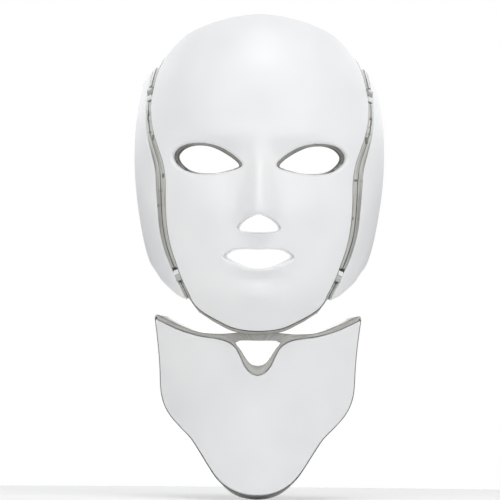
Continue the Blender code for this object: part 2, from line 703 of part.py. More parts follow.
face = empty_at("face_origin", Vector((0, 0, 0)))
pieces = [face_shell(), face_liner()]

BOARDS = {
    "forehead_led_board": mirrored([(0, 104), (22, 102), (31, 96), (34, 86), (48, 86), (66, 72), (76, 54), (78, 38), (70, 26),
                                    (48, 23), (22, 20), (0, 24)]),
    "nose_led_board": mirrored([(0, 19), (12, 13), (10, 0), (8, -14), (12, -26), (12, -35), (0, -37)]),
    "left_cheek_led_board": [(26, -18), (46, -18), (64, -14), (78, -8), (82, -28), (80, -50), (76, -66), (66, -80),
                             (50, -82), (38, -74), (30, -62), (25, -46), (22, -32)],
    "chin_led_board": mirrored([(0, -93), (20, -92), (34, -92), (46, -98), (42, -110), (30, -119), (14, -126), (0, -128)]),
}
BOARDS["right_cheek_led_board"] = flip(BOARDS["left_cheek_led_board"])
for name, control in BOARDS.items():
    pieces.append(board(name, head, control, seeds=NOSE_SEEDS, step=5.0 if "nose" in name else 10.0))
for name, (s, z) in FACE_SCREWS.items():
    pieces.append(screw(name, head, s, z))
for obj in pieces:
    hang(obj, face)

for side, word in ((1, "left"), (-1, "right")):
    top, low, up = hinge_line(side)
    swing = empty_at(word + "_wing_swing", 0.5 * (top + low))
    skin = head
    loop = sided(side, smooth_loop(WING_LOOP, 8.0, sharp=(0, len(WING_STRIP) - 1)))
    inner = offset(loop, -RIM_WIDE)
    spots = {key: (side * s, z) for key, (s, z) in WING_SCREWS.items()}
    shell = mesh_object(
        word + "_wing_shell",
        *plate_faces(skin, loop, [], 10.0, 0.0, -RIM, bottom_zones=[(inner, -SHELL)] + bosses(spots.values())),
        finish(word + "_wing_shell", *WHITE), 40,
    )
    low_z, high_z = WINDOW_Z
    window = [(strip_mid(low_z) + 2.2, low_z), (STRIP_WING(low_z) - 0.9, low_z), (STRIP_WING(high_z) - 0.9, high_z), (strip_mid(high_z) + 2.2, high_z)]
    liner_loop = sided(side, smooth_loop(WING_LINER_LOOP, 8.0, sharp=(0, len(MID) - 1)))
    liner = mesh_object(
        word + "_wing_liner",
        *plate_faces(
            skin, liner_loop, [circle(s, z, 1.6, 8) for s, z in spots.values()] + [sided(side, window)], 10.0, -LINER_TOP, -LINER_SKIN,
        ),
        finish(word + "_wing_liner", *CLEAR), 40,
    )
    lane = [(STRIP_WING(z) + 7, z) for z in (34, 16, 0, -16, -32, -48)]
    rear = [(STRIP_WING(z) + 7 + w, z) for z, w in ((-50, 18), (-32, 26), (-14, 30), (4, 30), (22, 26), (34, 18))]
    led = board(word + "_wing_led_board", skin, sided(side, lane + rear))
    moving = [shell, liner, led]
    for key, (s, z) in spots.items():
        moving.append(screw(word + "_" + key, skin, s, z))
    for z, place, way in ((HINGE_Z[0], "upper", 1), (HINGE_Z[1], "lower", -1)):
        gap = 0.5 * (STRIP_WING(z) - STRIP_FACE(z))
        moving.append(knuckle(word + "_" + place + "_hinge_lug", side, z, lug_profile(gap - 1.6), -1.9, 1.9, WHITE))
        ear = knuckle(word + "_" + place + "_hinge_ear", side, z + way * EAR_AWAY, eye_profile(-(gap - 1.1)), -2.5, 2.5, CLEAR)
        hang(ear, face)
        point, along_pin, _, _ = hinge_frame(side, z)
        pin = turned(
            word + "_" + place + "_hinge_pin", point, along_pin * -way,
            [(PIN, -8.2), (PIN, 2.2), (BARREL * 0.8, 2.2), (BARREL * 0.8, 3.0)], finish(word + "_" + place + "_pin", *STEEL), 12,
        )
        hang(pin, face)
    # a flat white lead that crosses the strip from the face to the wing's board
    z = 30.0
    gap = 0.5 * (STRIP_WING(z) - STRIP_FACE(z)) - 1.6
    flat = lambda u, v, w, z=z, side=side: head(side * strip_mid(z) + u, z + v, w)
    lead = mesh_object(
        word + "_wing_lead",
        *plate_faces(flat, sided(side, [(-1.2, -2.2), (gap, -2.2), (gap, 2.2), (-1.2, 2.2)]), [], 30.0, -2.2, -2.7),
        finish(word + "_wing_lead", *BOARD), 30,
    )
    moving.append(lead)
    if side > 0:
        s = HALF_WIDTH(JACK_Z) * 1.61
        moving.append(jack("power_jack", head, s, JACK_Z, shell))
    for obj in moving:
        hang(obj, swing)

collar = empty_at("neck_pull", Vector((0, 0, -190)))
loop = smooth_loop(NECK_LOOP, 9.0, sharp=(len(NECK_SIDE) - 1, len(NECK_LOOP) - len(NECK_SIDE) + 1))
shell = mesh_object(
    "neck_shell",
    *plate_faces(neck, loop, [], 11.0, 0.0, -RIM, bottom_zones=[(offset(loop, -RIM_WIDE), -SHELL)] + bosses(NECK_SCREWS.values())),
    finish("neck_shell", *WHITE), 40,
)
liner = mesh_object(
    "neck_liner",
    *plate_faces(neck, smooth_loop(NECK_LINER_LOOP, 9.0), [NOTCH_LOOP] + [circle(s, z, 1.6, 8) for s, z in NECK_SCREWS.values()],
                 11.0, -LINER_TOP, -LINER_SKIN),
    finish("neck_liner", *CLEAR), 40,
)
half = [(20, -160), (34, -154), (60, -150), (72, -160), (72, -184), (64, -202), (50, -216), (38, -228), (24, -228), (14, -214),
        (8, -198), (10, -180)]
worn = [shell, liner, board("left_neck_led_board", neck, half), board("right_neck_led_board", neck, flip(half))]
for name, (s, z) in NECK_SCREWS.items():
    worn.append(screw(name, neck, s, z))
worn.append(jack("neck_jack", neck, neck_along(78.6, -164), -164, shell))
for obj in worn:
    hang(obj, collar)

bpy.context.view_layer.update()
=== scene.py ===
import math

import bpy
import numpy as np
from mathutils import Matrix, Vector
from mathutils.geometry import delaunay_2d_cdt


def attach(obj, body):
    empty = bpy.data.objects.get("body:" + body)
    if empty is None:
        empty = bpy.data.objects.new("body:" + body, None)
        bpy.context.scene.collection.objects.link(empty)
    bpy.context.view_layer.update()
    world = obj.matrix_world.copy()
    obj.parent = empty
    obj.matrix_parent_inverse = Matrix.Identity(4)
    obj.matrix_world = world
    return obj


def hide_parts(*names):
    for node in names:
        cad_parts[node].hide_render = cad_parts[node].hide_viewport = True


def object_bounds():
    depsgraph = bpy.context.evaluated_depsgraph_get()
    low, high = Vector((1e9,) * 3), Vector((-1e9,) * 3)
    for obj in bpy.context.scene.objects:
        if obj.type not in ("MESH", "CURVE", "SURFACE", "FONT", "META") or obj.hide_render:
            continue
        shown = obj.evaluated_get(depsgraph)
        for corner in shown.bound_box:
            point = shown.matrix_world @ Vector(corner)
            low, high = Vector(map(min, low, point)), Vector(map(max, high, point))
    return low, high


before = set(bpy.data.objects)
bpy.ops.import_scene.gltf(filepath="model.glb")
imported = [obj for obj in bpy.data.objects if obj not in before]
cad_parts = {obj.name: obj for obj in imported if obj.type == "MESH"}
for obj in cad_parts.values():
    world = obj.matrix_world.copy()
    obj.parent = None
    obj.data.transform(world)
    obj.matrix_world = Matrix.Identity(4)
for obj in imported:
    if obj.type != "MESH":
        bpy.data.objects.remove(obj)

CAD_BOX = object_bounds()
MM = 0.001

# ---------------------------------------------------------------- the form's driving numbers, in millimetres
SHELL, RIM, RIM_WIDE = 2.0, 6.6, 2.2
LINER_TOP, LINER_SKIN = 7.0, 8.3
FLANGE_TOP, FLANGE_LOW = 0.45, 2.8  # the liners' edges, where they show past the shells
BOARD_TOP, BOARD_SKIN, LED_SKIN = 4.0, 4.8, 6.0
LED_PITCH, LED_SIDE = 19.0, 5.0
HINGE_DEPTH, HINGE_Z, EAR_AWAY = 4.6, (50.0, -90.0), 4.7
BARREL, PIN = 1.7, 0.65
NECK_ROUND = 100.0
# The head form: half width, depth from front to side, and how far the front stands out, each against height.
HALF_WIDTH_KNOTS = [(118, 52), (110, 62), (100, 71.5), (88, 80), (74, 88.3), (65.6, 92), (50, 96.2), (33.6, 99), (16, 100.4),
                    (0, 100.6), (-20, 99.5), (-38, 97.4), (-57, 94.2), (-71, 91.2), (-83, 87.8), (-96, 83), (-110, 76.5),
                    (-125, 68), (-140, 58)]
DEPTH_KNOTS = [(118, 60), (100, 76), (80, 86), (50, 93), (0, 95), (-50, 93), (-90, 86), (-120, 76), (-140, 68)]
FRONT_KNOTS = [(118, -25), (105, -12), (90, -2), (75, 5), (55, 10), (35, 12.3), (15, 12.5), (0, 11.5), (-30, 11),
               (-60, 11.5), (-90, 10.5), (-110, 8.5), (-125, 5), (-138, 0.5), (-150, -5)]
# The nose ridge, and the width of its flanks.
NOSE_RISE_KNOTS = [(-74, 0), (-66, 1.5), (-58, 6), (-52, 12), (-46, 18.5), (-41, 21.5), (-36, 21.3), (-25, 17.3), (-10, 11),
                   (4, 5.2), (15, 2.2), (30, 0)]
NOSE_WIDE_KNOTS = [(-74, 18), (-60, 16.5), (-50, 16), (-38, 14.5), (-25, 11.5), (-10, 9.5), (10, 9.5), (30, 14)]
# Soft bumps and hollows: centre, spread and height. Those off the middle are mirrored.
RELIEF_BELLS = [
    (30, 21, 26, 9, 2.6),  # brow
    (34, -1, 23, 13, -5.0),  # eye socket
    (22, -24, 9, 16, -1.8),  # beside the nose
    (47, -34, 22, 19, 3.2),  # cheekbone
    (44, -76, 17, 22, -2.6),  # below the cheek
    (0, -76, 25, 20, 4.5),  # mouth
    (0, -64, 9, 4.5, -1.5),  # below the nose
    (0, -95, 17, 5.5, -3.0),  # below the lip
    (0, -109, 18, 11, 4.5),  # chin
    (0, 52, 46, 30, 1.5),  # forehead
]
# The gap between the liners of the face and a wing: wide where their edges swing furthest from the hinge line.
STRIP_GAP_KNOTS = [(-115, 2.9), (-104, 2.2), (-90, 1.6), (-75, 1.8), (-55, 2.2), (-35, 2.6), (-15, 2.9), (0, 2.8), (20, 2.3),
                   (40, 1.6), (50, 1.6), (60, 2.0), (75, 2.9)]
NECK_FRONT_KNOTS = [(-120, -10), (-138, -9), (-170, -9), (-200, -7), (-230, -1), (-255, 6.5), (-270, 12)]

# Outlines on the +x side, as seen from the front: (x, z) from the middle line and back to it.
FACE_TOP = [(0, 117.6), (18, 115.9), (32.4, 112.6), (47.8, 106.9), (58, 101.6), (66, 94.6), (73, 86.8), (77.6, 79.8)]
FACE_STRIP = [(81, 73), (84.6, 61), (87.3, 47.6), (87.3, 34), (85.4, 22), (81, 8), (77.4, -3), (75.4, -16), (75.1, -36),
              (74, -52), (71, -68.5), (66.6, -82), (61.6, -95.5), (55.5, -108), (53, -113.5)]
FACE_CHIN = [(47.5, -119.8), (32.5, -128.8), (18, -135), (0, -136.9)]
WING_STRIP = [(86, 72.6), (88.9, 61), (91.2, 46), (91.6, 30), (90.6, 19), (87.5, 5.5), (84.3, -8), (83, -26), (82, -39),
              (79.9, -58), (76, -73), (70.6, -86.5), (66.2, -95.5), (61, -106), (58.2, -112)]
WING_REAR_LOW = [(64, -109.4), (70.5, -104.2), (78.3, -96.5), (82.4, -90.2)]
WING_REAR = [(1.44, -83), (1.52, -72), (1.585, -55), (1.61, -20), (1.61, 20), (1.59, 45), (1.53, 60), (1.43, 68)]
EYE_SHELL = [(68.6, 1.8), (67.5, 5.8), (63.5, 9.9), (57.1, 12.5), (49.9, 13.6), (41.1, 12.9), (31.5, 10.1), (23.5, 5.7), (16.7, 0.3), (13.8, -3.5), (15.4, -6.2), (24.3, -9.2), (33.1, -10.8), (41.1, -11.7), (49.9, -11.5), (58.7, -9.3), (64.3, -5.7), (67.5, -2.0)]
EYE_LINER = [(64.3, 2.2), (62.7, 5.1), (59.5, 8.0), (53.9, 10.3), (47.5, 11.0), (39.5, 10.1), (31.5, 6.9), (23.5, 2.2), (18.7, -1.4), (16.1, -4.8), (17.9, -6.2), (25.1, -8.4), (33.1, -10.0), (41.1, -10.7), (49.1, -10.3), (55.5, -8.6), (60.3, -5.3), (63.5, -1.3)]
NOSE_SHELL = [(0, -43), (7, -44.8), (13, -48.4), (17.3, -53.4), (16.8, -56.4), (13.5, -57.6), (7, -58.2), (0, -58.4)]
MOUTH_SHELL = [(0, -71.3), (11, -71), (20.7, -72), (26.5, -74.8), (28.6, -77.4), (25.4, -80.4), (17.4, -84), (9, -87), (0, -88)]
NECK_TOP = [(0, -172.8), (5.2, -171), (10.6, -165.2), (14, -158), (18.2, -150.4), (24, -146), (32, -143.6), (48, -141.3),
            (64, -136.6), (74.5, -132)]
NECK_SIDE = [(82.6, -128), (80.4, -145), (78.6, -164), (77.8, -181), (76.8, -189), (74.2, -197.5), (69.8, -205), (62.8, -213),
             (53, -223), (45.5, -234), (38.5, -245), (31.5, -254.5), (22.5, -262), (12, -266.4), (0, -267.8)]
NECK_LINER_TOP = [(0, -138.4), (12.4, -137.8), (20.8, -138.6), (32, -139.3), (48, -137.9), (64, -132.3), (75, -127.3)]
NECK_NOTCH = [(0, -144.6), (15.4, -144.6), (18, -145.8), (14, -151.4), (9.6, -158.2), (5.4, -163), (0, -164.6)]

# Finer turns of the face's form that only the outer skin shows.
FINE_BELLS = []


# ---------------------------------------------------------------- surfaces
def spline(knots):
    """Natural cubic spline through (t, value) knots, straight past the ends, for arrays of t."""
    t = np.array([k[0] for k in sorted(knots)], float)
    v = np.array([k[1] for k in sorted(knots)], float)
    n, h = len(t), np.diff(t)
    m = np.zeros((n, n))
    r = np.zeros(n)
    m[0, 0] = m[-1, -1] = 1.0
    for i in range(1, n - 1):
        m[i, i - 1], m[i, i], m[i, i + 1] = h[i - 1], 2 * (h[i - 1] + h[i]), h[i]
        r[i] = 6 * ((v[i + 1] - v[i]) / h[i] - (v[i] - v[i - 1]) / h[i - 1])
    c = np.linalg.solve(m, r)
    first = (v[1] - v[0]) / h[0] - h[0] * c[1] / 6
    last = (v[-1] - v[-2]) / h[-1] + h[-1] * c[-2] / 6

    def f(x):
        x = np.asarray(x, float)
        i = np.clip(np.searchsorted(t, x) - 1, 0, n - 2)
        p, q = t[i + 1] - x, x - t[i]
        y = (c[i] * p**3 + c[i + 1] * q**3) / (6 * h[i]) + (v[i] / h[i] - c[i] * h[i] / 6) * p
        y = y + (v[i + 1] / h[i] - c[i + 1] * h[i] / 6) * q
        return np.where(x <= t[0], v[0] + (x - t[0]) * first, np.where(x >= t[-1], v[-1] + (x - t[-1]) * last, y))

    return f


HALF_WIDTH, FRONT, DEPTH = spline(HALF_WIDTH_KNOTS), spline(FRONT_KNOTS), spline(DEPTH_KNOTS)
NOSE_RISE, NOSE_WIDE, NECK_FRONT = spline(NOSE_RISE_KNOTS), spline(NOSE_WIDE_KNOTS), spline(NECK_FRONT_KNOTS)


def bell(x, z, cx, cz, wx, wz):
    return np.exp(-(((x - cx) / wx) ** 2) - ((z - cz) / wz) ** 2)


def relief(x, z):
    """How far the face's features stand forward of the smooth head form."""
    ax = np.abs(x)
    w = NOSE_WIDE(z)
    on = (z > NOSE_RISE_KNOTS[0][0]) & (z < NOSE_RISE_KNOTS[-1][0])
    rise = np.where(on, NOSE_RISE(z), 0.0) / (1 + (ax / w) ** 2.6) ** 1.7
    for cx, cz, wx, wz, height in RELIEF_BELLS + FINE_BELLS:
        rise = rise + height * (bell(ax, z, cx, cz, wx, wz) + (bell(-ax, z, cx, cz, wx, wz) if cx else 0.0))
    return rise


def unit(v):
    return v / np.maximum(np.linalg.norm(v, axis=-1, keepdims=True), 1e-12)


def head(s, z, d):
    """Points of the face or a wing: s along the skin from the middle, z up, d outwards from the outer surface."""
    s, z, d = np.broadcast_arrays(np.asarray(s, float), np.asarray(z, float), np.asarray(d, float))
    a, b, e = HALF_WIDTH(z), DEPTH(z), 0.5
    p = s / a
    x, y = a * np.sin(p), b * (1 - np.cos(p)) - FRONT(z)
    az, bz, fz = HALF_WIDTH(z + e) - a, DEPTH(z + e) - b, FRONT(z + e) - FRONT(z)
    tp = np.stack([a * np.cos(p), b * np.sin(p), np.zeros_like(p)], -1)
    tz = np.stack([az * np.sin(p), bz * (1 - np.cos(p)) - fz, np.full_like(p, e)], -1)
    n = unit(np.cross(tp, tz))
    y = y - np.where(np.abs(p) < 1.2, relief(x, z), 0.0)
    return np.stack([x, y, z], -1) + n * d[..., None], n


def neck(s, z, d):
    """Points of the neck shield, in the same way."""
    s, z, d = np.broadcast_arrays(np.asarray(s, float), np.asarray(z, float), np.asarray(d, float))
    p, e = s / NECK_ROUND, 0.5
    x, y = NECK_ROUND * np.sin(p), NECK_ROUND * (1 - np.cos(p)) - NECK_FRONT(z)
    fz = NECK_FRONT(z + e) - NECK_FRONT(z)
    zero = np.zeros_like(p)
    n = unit(np.cross(np.stack([np.cos(p), np.sin(p), zero], -1), np.stack([zero, -fz, zero + e], -1)))
    return np.stack([x, y, z], -1) + n * d[..., None], n


def along(x, z):
    return float(HALF_WIDTH(z)) * math.asin(max(-1.0, min(1.0, x / float(HALF_WIDTH(z)))))


def neck_along(x, z):
    return NECK_ROUND * math.asin(max(-1.0, min(1.0, x / NECK_ROUND)))


def spot(surface, s, z, d):
    point, normal = surface(s, z, d)
    return Vector(point), Vector(normal)


# ---------------------------------------------------------------- outlines
def smooth_loop(points, step, sharp=()):
    """A closed curve through the points, sampled every step or so. Points named in sharp keep their corner."""
    n = len(points)
    p = [np.array(q, float) for q in points]
    out = []
    for i in range(n):
        p0, p1, p2, p3 = p[i - 1], p[i], p[(i + 1) % n], p[(i + 2) % n]
        length = np.linalg.norm(p2 - p1)
        m1 = unit((p2 - p0) if i not in sharp else (p2 - p1)) * length
        m2 = unit((p3 - p1) if (i + 1) % n not in sharp else (p2 - p1)) * length
        k = max(1, int(round(length / step)))
        for j in range(k):
            t = j / k
            out.append(
                p1 * (2 * t**3 - 3 * t**2 + 1) + m1 * (t**3 - 2 * t**2 + t) + p2 * (-2 * t**3 + 3 * t**2) + m2 * (t**3 - t**2)
            )
    return np.array(out)


def mirrored(half):
    half = [tuple(q) for q in half]
    return half + [(-x, z) for x, z in reversed(half[1:-1])]


def flip(loop):
    return np.array([(-s, z) for s, z in reversed([tuple(q) for q in loop])])


def sided(side, loop):
    return np.array([tuple(q) for q in loop]) if side > 0 else flip(loop)


def area(loop):
    a = np.asarray(loop)
    b = np.roll(a, -1, axis=0)
    return 0.5 * float((a[:, 0] * b[:, 1] - b[:, 0] * a[:, 1]).sum())


def nearest(points, loop):
    """For each point, its distance to a closed loop and how far round the loop the nearest place is."""
    a = np.asarray(loop, float)
    d = np.roll(a, -1, axis=0) - a
    length = np.linalg.norm(d, axis=1)
    start = np.concatenate([[0], np.cumsum(length)[:-1]])
    points = np.asarray(points, float)
    far, run = np.empty(len(points)), np.empty(len(points))
    for k in range(0, len(points), 2000):
        q = points[k : k + 2000, None, :] - a[None]
        t = np.clip((q * d[None]).sum(2) / np.maximum((d * d).sum(1), 1e-12)[None], 0, 1)
        away = np.linalg.norm(q - d[None] * t[..., None], axis=2)
        i = away.argmin(1)
        rows = np.arange(len(i))
        far[k : k + 2000] = away[rows, i]
        run[k : k + 2000] = start[i] + t[rows, i] * length[i]
    return far, run


def within(points, loop):
    """True for each point that lies inside a closed loop."""
    points, a = np.asarray(points, float), np.asarray(loop, float)
    hit = np.zeros(len(points), bool)
    x1, z1 = a[-1]
    for x2, z2 in a:
        if z1 != z2:
            cross = ((z1 > points[:, 1]) != (z2 > points[:, 1])) & (points[:, 0] < (x2 - x1) * (points[:, 1] - z1) / (z2 - z1) + x1)
            hit ^= cross
        x1, z1 = x2, z2
    return hit


def offset(loop, by):
    """The loop moved outwards by a distance (inwards if less than 0), without the knots that corners would tie."""
    a = np.asarray(loop, float)
    t = unit(np.roll(a, -1, axis=0) - np.roll(a, 1, axis=0))
    sign = 1 if area(a) > 0 else -1
    q = a + sign * np.stack([t[:, 1], -t[:, 0]], 1) * by
    return q[nearest(q, a)[0] > 0.93 * abs(by)]


# ---------------------------------------------------------------- meshes
def mesh_object(name, points, faces, sharp=35.0, attributes=None):
    """A Blender object from points in millimetres, with its outsides outwards."""
    mesh = bpy.data.meshes.new(name)
    mesh.from_pydata((np.asarray(points, float) * MM).tolist(), [], [list(map(int, f)) for f in faces])
    for key, values in (attributes or {}).items():
        mesh.attributes.new(key, "FLOAT", "POINT").data.foreach_set("value", np.asarray(values, np.float32))
    mesh.validate()
    mesh.shade_smooth()
    mesh.set_sharp_from_angle(angle=math.radians(sharp))
    obj = bpy.data.objects.new(name, mesh)
    bpy.context.scene.collection.objects.link(obj)
    return obj


class Body:
    """Points and faces gathered from several closed forms, each with its material number."""

    def __init__(self):
        self.points, self.faces, self.kinds, self.extra = [], [], [], {}
        self.count = 0

    def add(self, points, faces, kind=0, **extra):
        base = self.count
        points = np.asarray(points, float).reshape(-1, 3)
        self.points.append(points)
        for f in faces:
            self.faces.append([int(i) + base for i in f])
        self.kinds += list(kind) if hasattr(kind, "__len__") else [kind] * len(faces)
        for key in set(self.extra) | set(extra):
            old = self.extra.get(key, np.zeros(base))
            new = np.broadcast_to(np.asarray(extra.get(key, 0.0), float), (len(points),))
            self.extra[key] = np.concatenate([old, new])
        self.count += len(points)
        return self

    def make(self, name, materials, sharp=35.0):
        obj = mesh_object(name, np.concatenate(self.points), self.faces, sharp, self.extra)
        for mat in materials:
            obj.data.materials.append(mat)
        if len(obj.data.polygons) == len(self.kinds):
            obj.data.polygons.foreach_set("material_index", self.kinds)
        return obj


def mesh_plate(outer, holes, rings, grid, spots=(), fine=()):
    """Triangles of a flat plate in (s, z): its outline, its holes, rows of points along chosen loops, and a grid.
    fine is a list of (loop, step): inside such a loop the grid is closer."""
    loops = [np.asarray(outer, float)] + [np.asarray(h, float) for h in holes]
    coords, edges = [], []
    for loop in loops:
        first = len(coords)
        coords += [tuple(q) for q in loop]
        edges += [(first + i, first + (i + 1) % len(loop)) for i in range(len(loop))]
    rows = []
    for ring in rings:
        ring = np.asarray(ring, float)
        if len(ring):
            ok = within(ring, loops[0])
            for h in loops[1:]:
                ok &= ~within(ring, h)
            ok &= np.min([nearest(ring, loop)[0] for loop in loops], axis=0) > 0.07
            ring = ring[ok]
        kept = []
        for q in ring:
            if not kept or abs(q[0] - kept[-1][0]) + abs(q[1] - kept[-1][1]) > 0.3:
                kept.append(q)
        rows.append(np.array(kept).reshape(-1, 2))
    taken = np.concatenate(loops + [r for r in rows if len(r)])
    lo, hi = loops[0].min(0), loops[0].max(0)

    def lattice(step):
        zs = np.arange(lo[1] + step * 0.4, hi[1], step * 0.866)
        out = []
        for row, z in enumerate(zs):
            xs = np.arange(lo[0] + (0.5 if row % 2 else 0.0) * step, hi[0], step)
            out.append(np.stack([xs, np.full_like(xs, z)], 1))
        q = np.concatenate(out)
        q = q[within(q, loops[0])]
        for h in loops[1:]:
            q = q[~within(q, h)]
        far = np.full(len(q), 1e9)
        for k in range(0, len(q), 1500):
            part = q[k : k + 1500]
            far[k : k + 1500] = np.sqrt(((part[:, None] - taken[None]) ** 2).sum(2)).min(1)
        return q[far > step * 0.62]

    base = lattice(grid)
    extra = []
    for loop, step in fine:
        base = base[~within(base, loop)]
        close = lattice(step)
        extra.append(close[within(close, loop)])
    parts = [np.array(coords)] + [r for r in rows if len(r)] + [base] + extra
    if len(spots):
        parts.append(np.asarray(spots, float))
    every = np.concatenate(parts)
    verts, _, tris, _, _, _ = delaunay_2d_cdt([Vector(q) for q in every.tolist()], edges, [], 0, 1e-5, False)
    at = np.array([(v.x, v.y) for v in verts])
    tri = np.array(tris)
    mid = at[tri].mean(1)
    ok = within(mid, loops[0])
    for h in loops[1:]:
        ok &= ~within(mid, h)
    a, b, c = at[tri[:, 0]], at[tri[:, 1]], at[tri[:, 2]]
    twice = (b[:, 0] - a[:, 0]) * (c[:, 1] - a[:, 1]) - (c[:, 0] - a[:, 0]) * (b[:, 1] - a[:, 1])
    ok &= np.abs(twice) > 1e-7
    tri[twice < 0] = tri[twice < 0][:, [0, 2, 1]]
    tri = tri[ok]
    used = np.unique(tri)
    back = np.full(len(at), -1)
    back[used] = np.arange(len(used))
    return at[used], back[tri]


def skin_of(surface, at, tri, top, bottom):
    """The closed skin of a plate between two sets of levels: (points, faces)."""
    n = len(at)
    points = np.concatenate([surface(at[:, 0], at[:, 1], top)[0], surface(at[:, 0], at[:, 1], bottom)[0]])
    faces = [tuple(t) for t in tri] + [(t[2] + n, t[1] + n, t[0] + n) for t in tri]
    sides = {(int(t[k]), int(t[(k + 1) % 3])) for t in tri for k in range(3)}
    for i, j in sides:
        if (j, i) not in sides:
            faces.append((i, i + n, j + n, j))
    return points, faces


def round_off(t, r):
    """How far an edge of radius r falls away at a distance t from the edge."""
    u = np.clip(1 - t / r, 0, 1)
    return -r * (1 - np.sqrt(np.maximum(1 - u * u, 0)))


def soft_step(x, lo, hi):
    u = np.clip((x - lo) / (hi - lo), 0, 1)
    return u * u * (3 - 2 * u)


def edge_rings(loop, inward, radius, beyond=()):
    """Rows of points that carry a rounded edge."""
    steps = [radius * (1 - math.cos(math.radians(a))) for a in (24, 42, 60, 76, 90)] + list(beyond)
    return [offset(loop, (-1 if inward else 1) * s) for s in steps if s > 0.08]


def turned(origin, axis, profile, sides=32, ripple=None):
    """A round form: its profile is (radius, height) pairs from the foot of the axis to its top. Radii of 0 close it."""
    axis = axis.normalized()
    u = axis.orthogonal().normalized()
    v = axis.cross(u)
    points, faces = [], []
    for i, (r, h) in enumerate(profile):
        for k in range(sides):
            t = 2 * math.pi * k / sides
            rr = r * (ripple(t, i) if ripple else 1.0)
            points.append(tuple(origin + axis * h + (u * math.cos(t) + v * math.sin(t)) * rr))
    for i in range(len(profile) - 1):
        for k in range(sides):
            m = (k + 1) % sides
            faces.append([i * sides + k, i * sides + m, (i + 1) * sides + m, (i + 1) * sides + k])
    faces.append([k for k in reversed(range(sides))])
    faces.append([(len(profile) - 1) * sides + k for k in range(sides)])
    return points, faces


def prism(place, loop, levels):
    """A closed form of stacked copies of a convex loop: levels are (height, grow) pairs, from the bottom up."""
    loop = np.asarray(loop, float)
    n = len(loop)
    t = unit(np.roll(loop, -1, axis=0) - np.roll(loop, 1, axis=0))
    out = np.stack([t[:, 1], -t[:, 0]], 1) * (1 if area(loop) > 0 else -1)
    points, faces = [], []
    for h, grow in levels:
        for q in loop + out * grow:
            points.append(tuple(place(q[0], q[1], h)))
    if area(loop) < 0:
        pass
    for i in range(len(levels) - 1):
        for k in range(n):
            m = (k + 1) % n
            faces.append([i * n + k, i * n + m, (i + 1) * n + m, (i + 1) * n + k])
    faces.append([k for k in reversed(range(n))])
    faces.append([(len(levels) - 1) * n + k for k in range(n)])
    return points, faces


def round_box(w, h, r, step=4):
    """A rounded rectangle about the middle."""
    out = []
    for cx, cz, a0 in ((w - r, h - r, 0), (-w + r, h - r, 90), (-w + r, -h + r, 180), (w - r, -h + r, 270)):
        for k in range(step + 1):
            t = math.radians(a0 + 90 * k / step)
            out.append((cx + r * math.cos(t), cz + r * math.sin(t)))
    return out


def tidy(obj):
    """Normals all one way out, for forms built without care for their winding."""
    import bmesh

    bm = bmesh.new()
    bm.from_mesh(obj.data)
    bmesh.ops.recalc_face_normals(bm, faces=bm.faces)
    bm.to_mesh(obj.data)
    bm.free()
    return obj


# ---------------------------------------------------------------- materials
class Nodes:
    """A material's nodes, with a short way to add and join them."""

    def __init__(self, name):
        self.mat = bpy.data.materials.new(name)
        self.mat.use_nodes = True
        self.tree = self.mat.node_tree
        self.bsdf = self.tree.nodes["Principled BSDF"]
        self.coords = self.tree.nodes.new("ShaderNodeTexCoord").outputs["Object"]

    def put(self, socket, value):
        if isinstance(value, bpy.types.NodeSocket):
            self.tree.links.new(value, socket)
        else:
            socket.default_value = value

    def node(self, kind, inputs=None, **props):
        n = self.tree.nodes.new(kind)
        for key, value in props.items():
            setattr(n, key, value)
        for key, value in (inputs or {}).items():
            self.put(n.inputs[key], value)
        return n

    def mapped(self, scale, source=None):
        return self.node("ShaderNodeMapping", {"Vector": source or self.coords, "Scale": scale}).outputs[0]

    def noise(self, scale, detail=3.0, rough=0.5, source=None):
        return self.node("ShaderNodeTexNoise", {"Vector": source or self.coords, "Scale": scale, "Detail": detail, "Roughness": rough}).outputs["Fac"]

    def ramp(self, fac, *stops):
        n = self.node("ShaderNodeValToRGB", {"Fac": fac})
        while len(n.color_ramp.elements) < len(stops):
            n.color_ramp.elements.new(0.5)
        for e, (at, colour) in zip(n.color_ramp.elements, stops):
            e.position = at
            e.color = colour if len(colour) == 4 else (*colour, 1.0)
        return n.outputs["Color"]

    def span(self, value, lo, hi, to_lo, to_hi):
        return self.node(
            "ShaderNodeMapRange", {"Value": value, "From Min": lo, "From Max": hi, "To Min": to_lo, "To Max": to_hi}
        ).outputs[0]

    def math(self, op, a, b=0.0):
        return self.node("ShaderNodeMath", {0: a, 1: b}, operation=op).outputs[0]

    def read(self, name):
        return self.node("ShaderNodeAttribute", attribute_name=name).outputs["Fac"]

    def mix(self, fac, a, b):
        n = self.node("ShaderNodeMix", data_type="RGBA")
        self.put(n.inputs[0], fac)
        self.put(n.inputs[6], a)
        self.put(n.inputs[7], b)
        return n.outputs[2]

    def bump(self, height, strength, distance, under=None):
        n = self.node("ShaderNodeBump", {"Height": height, "Strength": strength, "Distance": distance})
        if under is not None:
            self.put(n.inputs["Normal"], under)
        return n.outputs[0]

    def set(self, **values):
        for key, value in values.items():
            self.put(self.bsdf.inputs[key.replace("_", " ")], value)
        return self.mat


def lin(code):
    """A colour from its six hex digits, as linear light."""
    c = [int(code[i : i + 2], 16) / 255 for i in (0, 2, 4)]
    return tuple(v / 12.92 if v <= 0.04045 else ((v + 0.055) / 1.055) ** 2.4 for v in c)


